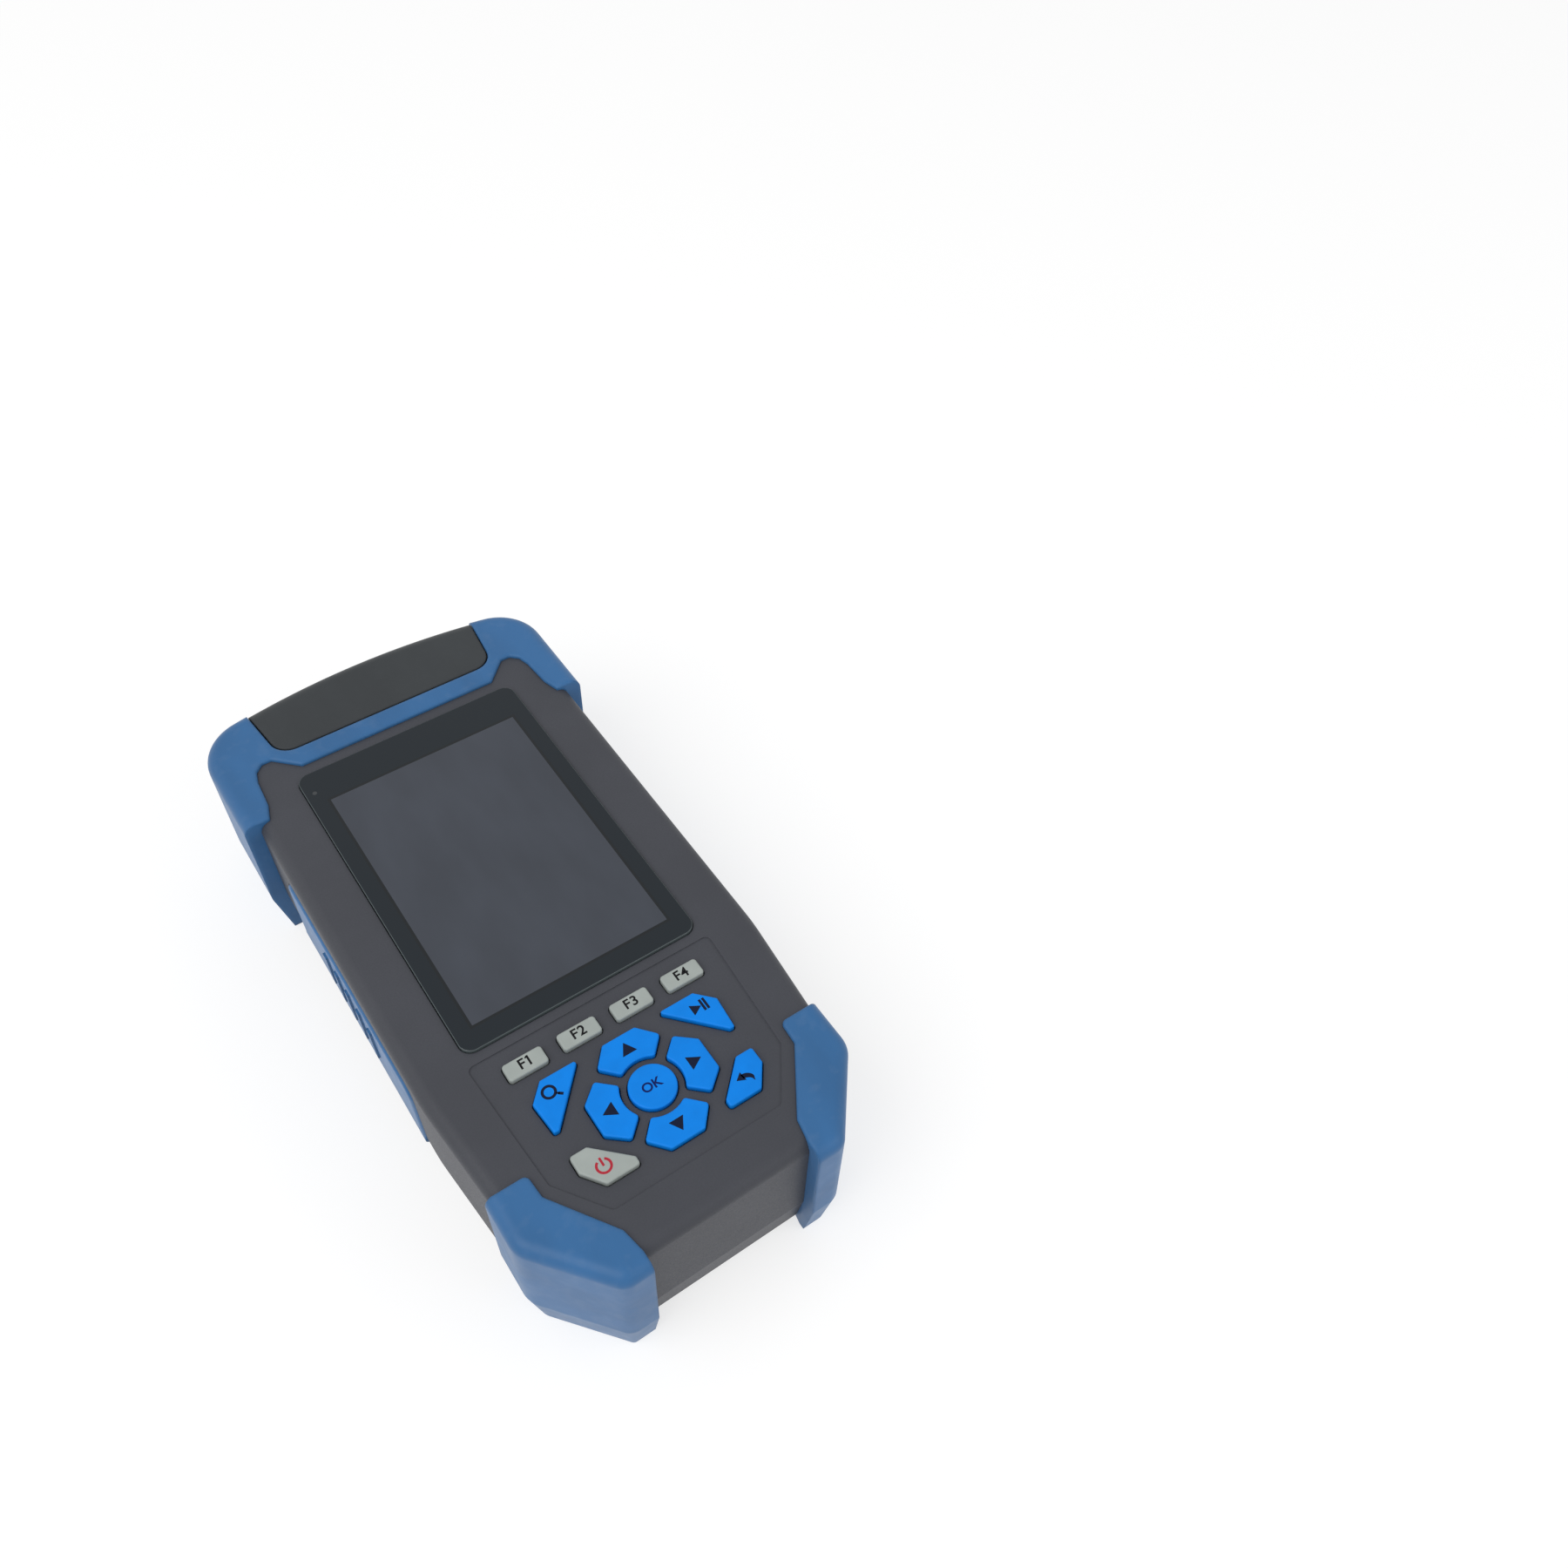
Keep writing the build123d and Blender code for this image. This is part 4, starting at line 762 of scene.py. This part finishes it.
class OTDR_OT_letters(bpy.types.Operator):
    """Letters on the function keys and on the round key"""

    bl_idname = "otdr.letters"
    bl_label = "Key Letters"

    def execute(self, context):
        low, high = legend_levels()
        height = context.scene.otdr_sizes.letter_height
        for key, (word, share, bold, spacing) in KEY_WORDS.items():
            middle = (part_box(key)[0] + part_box(key)[1]) / 2 + Vector((0.0, 0.25 * MM, 0.0))
            letters = printed_word("legend_" + key[4:], word, share * height, middle, low, high,
                                   bold, spacing)
            if key == "key_f1":
                letters = self.flagged(letters, low, high)
            if key in PALE_KEYS:
                finished(letters, key_ink("pale_key_ink", "letter_ink"), key + "_cap")
            else:
                finished(letters, key_ink("round_key_ink", "blue_ink"), key + "_cap")
        return {"FINISHED"}

    def flagged(self, letters, low, high):
        """Gives the figure 1, a plain bar at the word's right end, the slanting stroke at its top."""
        right = max(corner.co.x for corner in letters.data.vertices)
        top = max(corner.co.y for corner in letters.data.vertices)
        place = (right - 0.56 * MM, top - 0.32 * MM)
        length, width, slant = 0.56 * MM, 0.34 * MM, math.radians(38.0)
        return joined(letters.name, [letters, flat_bar("flag", place, length, width, slant, low, high, 0.0)])


class OTDR_OT_arrows(bpy.types.Operator):
    """Triangles on the four arrow keys"""

    bl_idname = "otdr.arrows"
    bl_label = "Key Arrows"

    def execute(self, context):
        low, high = legend_levels()
        width = context.scene.otdr_sizes.arrow_width
        length = 0.86 * width
        base_radius, rounding = 9.15 * MM, 0.07 * MM
        for key, turn in ARROW_KEYS.items():
            angle = math.radians(turn)
            place = (RING_MIDDLE.x - base_radius * math.sin(angle),
                     RING_MIDDLE.y + base_radius * math.cos(angle))
            arrow = flat_triangle("legend_" + key[4:], place, width, length, angle, low, high, rounding)
            finished(arrow, key_ink(), key + "_cap")
        return {"FINISHED"}


class OTDR_OT_search_symbol(bpy.types.Operator):
    """Magnifier on the search key: a ring with a handle"""

    bl_idname = "otdr.search_symbol"
    bl_label = "Search Symbol"

    def execute(self, context):
        low, high = legend_levels()
        stroke = context.scene.otdr_sizes.stroke
        x, y = from_screen(*SEARCH_PLACE)
        centre, radius = (x, y, (low + high) / 2), 1.4 * MM
        slant, rounding = math.radians(-39.0), 0.04 * MM
        parts = [spun_band("ring", centre, radius, 1.25 * stroke, high - low, 0.0, FULL_TURN)]
        # Neck and grip: how far out, how long, and how many strokes wide
        for away, length, strokes in ((1.9 * MM, 0.8 * MM, 0.9), (2.55 * MM, 1.1 * MM, 1.3)):
            place = (x + away * math.cos(slant), y + away * math.sin(slant))
            parts.append(flat_bar("handle", place, length, strokes * stroke, slant, low, high, rounding))
        finished(joined("legend_search", parts), key_ink(), "key_search_cap")
        return {"FINISHED"}


class OTDR_OT_play_symbol(bpy.types.Operator):
    """Triangle and two bars on the run key"""

    bl_idname = "otdr.play_symbol"
    bl_label = "Run Symbol"

    def execute(self, context):
        low, high = legend_levels()
        x, y = from_screen(*RUN_PLACE)
        base, length = 2.8 * MM, 2.4 * MM
        bar_width, bar_height, rounding = 0.6 * MM, 3.05 * MM, 0.05 * MM
        parts = [flat_triangle("play", (x, y), base, length, math.radians(-90.0), low, high)]
        for step in (2.75 * MM, 3.6 * MM):
            parts.append(flat_bar("bar", (x + step, y), bar_width, bar_height, 0.0, low, high, rounding))
        finished(joined("legend_play", parts), key_ink(), "key_play_cap")
        return {"FINISHED"}


class OTDR_OT_back_symbol(bpy.types.Operator):
    """Curved arrow on the return key"""

    bl_idname = "otdr.back_symbol"
    bl_label = "Return Symbol"

    def execute(self, context):
        low, high = legend_levels()
        x, y = from_screen(*RETURN_PLACE)
        base_middle, base, length = (x + 0.1 * MM, y + 1.8 * MM), 2.3 * MM, 1.85 * MM
        head = flat_triangle("head", base_middle, base, length, math.radians(97.0), low, high, 0.06 * MM)
        radius, width, start, sweep = 1.75 * MM, 1.1 * MM, 98.0, -108.0
        tail = spun_band("tail", (x, y, (low + high) / 2), radius, width, high - low, start, sweep)
        end_width, taper_reach = 0.15, 1.5 * MM
        bpy.ops.object.mode_set(mode="EDIT")
        select_faces(tail, lambda at, normal: normal.y < -FACING and at.y < y)
        bpy.ops.transform.resize(value=(end_width, 1.0, 1.0), use_proportional_edit=True,
                                 proportional_edit_falloff="SMOOTH", proportional_size=taper_reach)
        bpy.ops.object.mode_set(mode="OBJECT")
        finished(joined("legend_back", [head, tail]), key_ink(), "key_back_cap")
        return {"FINISHED"}


class OTDR_OT_power_symbol(bpy.types.Operator):
    """Open ring with a bar on the power key"""

    bl_idname = "otdr.power_symbol"
    bl_label = "Power Symbol"

    def execute(self, context):
        low, high = legend_levels()
        stroke = context.scene.otdr_sizes.stroke
        x, y = from_screen(*POWER_PLACE)
        radius, start, sweep = 1.55 * MM, 122.0, 296.0
        ring = spun_band("ring", (x, y, (low + high) / 2), radius, 1.1 * stroke, high - low, start, sweep)
        bar_place, bar_length = (x, y + 1.0 * MM), 2.05 * MM
        bar = flat_bar("bar", bar_place, bar_length, stroke, math.radians(90.0), low, high, 0.1 * MM)
        ink = key_ink("power_ink", "power_ink")
        finished(joined("legend_power", [ring, bar]), ink, "key_power_cap")
        return {"FINISHED"}


def cross_head_screw(name, place, head_low, head_radius, head_height, radius, length):
    """A screw driven from the back: rounded pan head with a cross recess, and a shank with a blunt tip."""
    only(None)
    middle = (place[0], place[1], head_low + head_height / 2)
    bpy.ops.mesh.primitive_cylinder_add(vertices=ROUND_SIDES, radius=head_radius, depth=head_height,
                                        location=middle)
    screw = settled(started(name))
    tip, tip_width = 0.6 * radius, 0.45
    bpy.ops.object.mode_set(mode="EDIT")
    select_faces(screw, lambda at, normal: normal.z < -FACING)
    bpy.ops.mesh.bevel(offset=0.3 * head_height, segments=3, affect="EDGES")
    select_faces(screw, lambda at, normal: normal.z > FACING)
    bpy.ops.mesh.inset(thickness=head_radius - radius)
    bpy.ops.mesh.extrude_region_move(TRANSFORM_OT_translate={"value": (0.0, 0.0, length - tip)})
    bpy.ops.mesh.extrude_region_move(TRANSFORM_OT_translate={"value": (0.0, 0.0, tip)})
    bpy.ops.transform.resize(value=(tip_width, tip_width, 1.0))
    bpy.ops.object.mode_set(mode="OBJECT")
    arm, slit = 1.15 * head_radius, 0.2 * head_radius
    recess_height, recess_end = head_height * 0.9, 0.55
    for across, along in ((arm, slit), (slit, arm)):
        only(None)
        bpy.ops.mesh.primitive_cube_add(size=1.0, location=(place[0], place[1], head_low))
        cutter = started("cutter")
        cutter.scale = (across, along, recess_height)
        settled(cutter)
        bpy.ops.object.mode_set(mode="EDIT")
        select_faces(cutter, lambda at, normal: normal.z > FACING)
        bpy.ops.transform.resize(value=(recess_end, recess_end, 1.0))
        bpy.ops.object.mode_set(mode="OBJECT")
        modifier = screw.modifiers.new("recess", "BOOLEAN")
        modifier.operation = "DIFFERENCE"
        modifier.solver = "EXACT"
        modifier.object = cutter
        apply_modifiers(screw)
        only(cutter)
        bpy.ops.object.delete()
    return screw


class OTDR_OT_screws(bpy.types.Operator):
    """Cross-head screws of the case and of the battery door"""

    bl_idname = "otdr.screws"
    bl_label = "Screws"

    def execute(self, context):
        steel = brushed_metal("screw_steel", (0.45, 0.45, 0.46), 0.3, (1.0, 1.0, 1.0))
        # The solids, their places, the new piece's name, and head radius, head height and shank radius
        sets = (("case_screws", CASE_SCREW_PLACES, "case_screw_set", 2.8 * MM, 2.0 * MM, 1.5 * MM),
                ("door_screws", DOOR_SCREW_PLACES, "door_screw_set", 1.8 * MM, 1.0 * MM, 1.0 * MM))
        for solid, places, name, head_radius, head_height, radius in sets:
            low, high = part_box(solid)
            length = high.z - low.z - head_height
            start = Vector((*places[0], 0.0))
            screw = cross_head_screw(name, start * MM, low.z, head_radius, head_height, radius, length)
            moves = [(Vector((x, y, 0.0)) - start) * MM for x, y in places]
            screws = finished(joined(name, copied(screw, moves)), steel, "housing", METAL_ANGLE)
            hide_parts(solid)
        return {"FINISHED"}


class OTDR_OT_sleeves(bpy.types.Operator):
    """White ceramic sleeve in each optical port"""

    bl_idname = "otdr.sleeves"
    bl_label = "Port Sleeves"

    def execute(self, context):
        material, tree, shader, coords = new_finish("sleeve_ceramic", (0.75, 0.76, 0.74), 0.25)
        cloud = grain(tree, coords, 0.8 * MM, 3.0)
        darker, lighter = (0.68, 0.69, 0.67), (0.8, 0.81, 0.79)
        colour_from(tree, shader, blended(tree, spread(tree, cloud, *SLOW_NOISE), darker, lighter))
        relief(tree, shader, cloud, 0.004 * MM)
        radius, wall, length, sunk = 1.75 * MM, 0.48 * MM, 0.5 * MM, 0.2 * MM
        for port in OPTICAL_PORTS:
            low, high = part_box(port)
            middle = ((low.x + high.x) / 2, high.y - sunk, (low.z + high.z) / 2)
            only(None)
            bpy.ops.mesh.primitive_cylinder_add(vertices=ROUND_SIDES, radius=radius, depth=length,
                                                location=middle, rotation=(math.pi / 2, 0.0, 0.0))
            sleeve = settled(started(port + "_sleeve"))
            bpy.ops.object.mode_set(mode="EDIT")
            select_faces(sleeve, lambda at, normal: abs(normal.y) > FACING)
            bpy.ops.mesh.inset(thickness=wall)
            bpy.ops.mesh.bridge_edge_loops()
            bpy.ops.object.mode_set(mode="OBJECT")
            finished(sleeve, material, "housing", METAL_ANGLE)
        return {"FINISHED"}


def rounded_edges(thing, width, segments):
    """Adds a modifier that rounds all of a piece's edges."""
    rounding = thing.modifiers.new("rounding", "BEVEL")
    rounding.width = width
    rounding.segments = segments


class OTDR_OT_contacts(bpy.types.Operator):
    """Spring contacts in the network jacks and the tongue in the USB jack"""

    bl_idname = "otdr.contacts"
    bl_label = "Jack Contacts"

    def execute(self, context):
        gold = brushed_metal("contact_gold", (0.83, 0.6, 0.25), 0.22)
        for jack in NETWORK_JACKS:
            self.spring_row(jack, gold)
        self.tongue()
        return {"FINISHED"}

    def spring_row(self, jack, gold):
        """Eight bent wires side by side under a network jack's ceiling."""
        low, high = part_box(jack)
        ceiling = high.z - 2.4 * MM
        depth, aside, below = 12.7 * MM, 3.57 * MM, 3.6 * MM
        wires, pitch, thickness, root = 8, 1.02 * MM, 0.36 * MM, 0.8 * MM
        # The bends, in millimetres: out of the root, down the ramp, round the end, and the tail
        bends = ((-1.4, 0.0, 0.25), (-7.0, 0.0, 2.4), (-1.3, 0.0, 0.75), (-0.8, 0.0, 0.0))
        start = (low.x + depth, (low.y + high.y) / 2 - aside, ceiling - below)
        only(None)
        bpy.ops.mesh.primitive_cube_add(size=1.0, location=start)
        wire = started("wire")
        wire.scale = (root, thickness, thickness)
        settled(wire)
        bpy.ops.object.mode_set(mode="EDIT")
        select_faces(wire, lambda at, normal: normal.x < -FACING)
        for bend in bends:
            step = tuple(part * MM for part in bend)
            bpy.ops.mesh.extrude_region_move(TRANSFORM_OT_translate={"value": step})
        bpy.ops.object.mode_set(mode="OBJECT")
        rounded_edges(wire, 0.09 * MM, 2)
        row = wire.modifiers.new("row", "ARRAY")
        row.count = wires
        row.use_relative_offset = False
        row.use_constant_offset = True
        row.constant_offset_displace = (0.0, pitch, 0.0)
        apply_modifiers(wire)
        finished(joined(jack + "_contacts", [wire]), gold, "housing", METAL_ANGLE)

    def tongue(self):
        """The flat tongue in the middle of the USB jack's mouth."""
        low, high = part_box("usb_jack")
        only(None)
        middle = (low.x + 3.9 * MM, (low.y + high.y) / 2, high.z - 4.0 * MM)
        bpy.ops.mesh.primitive_cube_add(size=1.0, location=middle)
        tongue = started("usb_tongue")
        tongue.scale = (5.4 * MM, 6.6 * MM, 0.75 * MM)
        settled(tongue)
        rounded_edges(tongue, 0.2 * MM, 3)
        apply_modifiers(tongue)
        plastic = moulded_plastic("tongue_plastic", (0.02, 0.02, 0.02), 0.4)
        finished(tongue, plastic, "housing", METAL_ANGLE)


class OTDR_OT_stage(bpy.types.Operator):
    """Pale floor, soft studio light and the camera"""

    bl_idname = "otdr.stage"
    bl_label = "Stage"

    def execute(self, context):
        settings = context.scene.otdr_stage
        self.floor()
        self.surround(context.scene, settings.world_light)
        for name, (place, width, share) in LAMPS.items():
            self.lamp(name, place, width, settings.lamp_power * share)
        camera_data = bpy.data.cameras.new("photo_camera")
        camera = bpy.data.objects.new("photo_camera", camera_data)
        context.scene.collection.objects.link(camera)
        camera_data.sensor_width = 36.0
        camera_data.lens = settings.focal_length
        camera_data.clip_start, camera_data.clip_end = 0.01, 20.0
        axes = (Vector(CAMERA_RIGHT), Vector(CAMERA_UP), Vector(CAMERA_BACK))
        camera.matrix_world = Matrix.Translation(CAMERA_PLACE) @ Matrix(axes).transposed().to_4x4()
        context.scene.camera = camera
        context.scene.view_settings.view_transform = "Standard"
        return {"FINISHED"}

    def floor(self):
        """A wide sheet of paper that looks white and keeps the shadow."""
        only(None)
        width, below = 12.0, 0.00002
        bpy.ops.mesh.primitive_plane_add(size=width, location=(0.0, 0.0, -below))
        plate = settled(started("floor"))
        material = bpy.data.materials.new("floor_paper")
        material.use_nodes = True
        tree = material.node_tree
        tree.nodes.clear()
        plain = node(tree, "ShaderNodeBsdfDiffuse", {"Color": (0.8, 0.8, 0.8, 1.0)})
        dull = node(tree, "ShaderNodeBsdfDiffuse", {"Color": (0.42, 0.42, 0.42, 1.0)})
        glow = node(tree, "ShaderNodeEmission", {"Color": (1.0, 1.0, 1.0, 1.0), "Strength": 0.66})
        lit = node(tree, "ShaderNodeAddShader", {0: dull.outputs[0], 1: glow.outputs[0]})
        seen = directly_seen(tree)
        both = node(tree, "ShaderNodeMixShader", {0: seen, 1: plain.outputs[0], 2: lit.outputs[0]})
        node(tree, "ShaderNodeOutputMaterial", {"Surface": both.outputs[0]})
        plate.data.materials.append(material)

    def surround(self, scene, strength):
        """Even light from all round, before a background that is white wherever it is seen."""
        world = bpy.data.worlds.new("surround")
        scene.world = world
        world.use_nodes = True
        tree = world.node_tree
        tree.nodes.clear()
        light = node(tree, "ShaderNodeBackground", {"Color": (1.0, 1.0, 1.0, 1.0), "Strength": strength})
        white = node(tree, "ShaderNodeBackground", {"Color": (1.0, 1.0, 1.0, 1.0), "Strength": 1.0})
        seen = directly_seen(tree)
        both = node(tree, "ShaderNodeMixShader", {0: seen, 1: light.outputs[0], 2: white.outputs[0]})
        node(tree, "ShaderNodeOutputWorld", {"Surface": both.outputs[0]})

    def lamp(self, name, place, width, power):
        """A square lamp that shines on the instrument."""
        data = bpy.data.lights.new(name, "AREA")
        data.shape = "SQUARE"
        data.size = width
        data.energy = power
        lamp = bpy.data.objects.new(name, data)
        bpy.context.scene.collection.objects.link(lamp)
        lamp.location = place
        lamp.rotation_mode = "QUATERNION"
        lamp.rotation_quaternion = Vector(place).to_track_quat("Z", "Y")


OPERATORS = (
    OTDR_OT_stage,
    OTDR_OT_housing,
    OTDR_OT_rubber,
    OTDR_OT_screen,
    OTDR_OT_keys,
    OTDR_OT_inner,
    OTDR_OT_letters,
    OTDR_OT_arrows,
    OTDR_OT_search_symbol,
    OTDR_OT_play_symbol,
    OTDR_OT_back_symbol,
    OTDR_OT_power_symbol,
    OTDR_OT_screws,
    OTDR_OT_sleeves,
    OTDR_OT_contacts,
)


class OTDR_PT_panel(bpy.types.Panel):
    """Lists the steps and the settings of the instrument's looks"""

    bl_idname = "OTDR_PT_panel"
    bl_label = "Reflectometer"
    bl_space_type = "VIEW_3D"
    bl_region_type = "UI"
    bl_category = "Reflectometer"

    def draw(self, context):
        layout = self.layout
        for group in (context.scene.otdr_colours, context.scene.otdr_sizes, context.scene.otdr_stage):
            box = layout.box()
            for name in group.__annotations__:
                box.prop(group, name)
        for operator in OPERATORS:
            layout.operator(operator.bl_idname)


CLASSES = (OTDRColours, OTDRSizes, OTDRStage, *OPERATORS, OTDR_PT_panel)


def register():
    """Makes the settings, the steps and the panel known to Blender."""
    for cls in CLASSES:
        bpy.utils.register_class(cls)
    bpy.types.Scene.otdr_colours = bpy.props.PointerProperty(type=OTDRColours)
    bpy.types.Scene.otdr_sizes = bpy.props.PointerProperty(type=OTDRSizes)
    bpy.types.Scene.otdr_stage = bpy.props.PointerProperty(type=OTDRStage)


def unregister():
    """Takes them out again."""
    del bpy.types.Scene.otdr_stage
    del bpy.types.Scene.otdr_sizes
    del bpy.types.Scene.otdr_colours
    for cls in reversed(CLASSES):
        bpy.utils.unregister_class(cls)


def main():
    """Runs the steps in their order."""
    register()
    for operator in OPERATORS:
        family, name = operator.bl_idname.split(".")
        getattr(getattr(bpy.ops, family), name)()


if __name__ == "__main__":
    main()
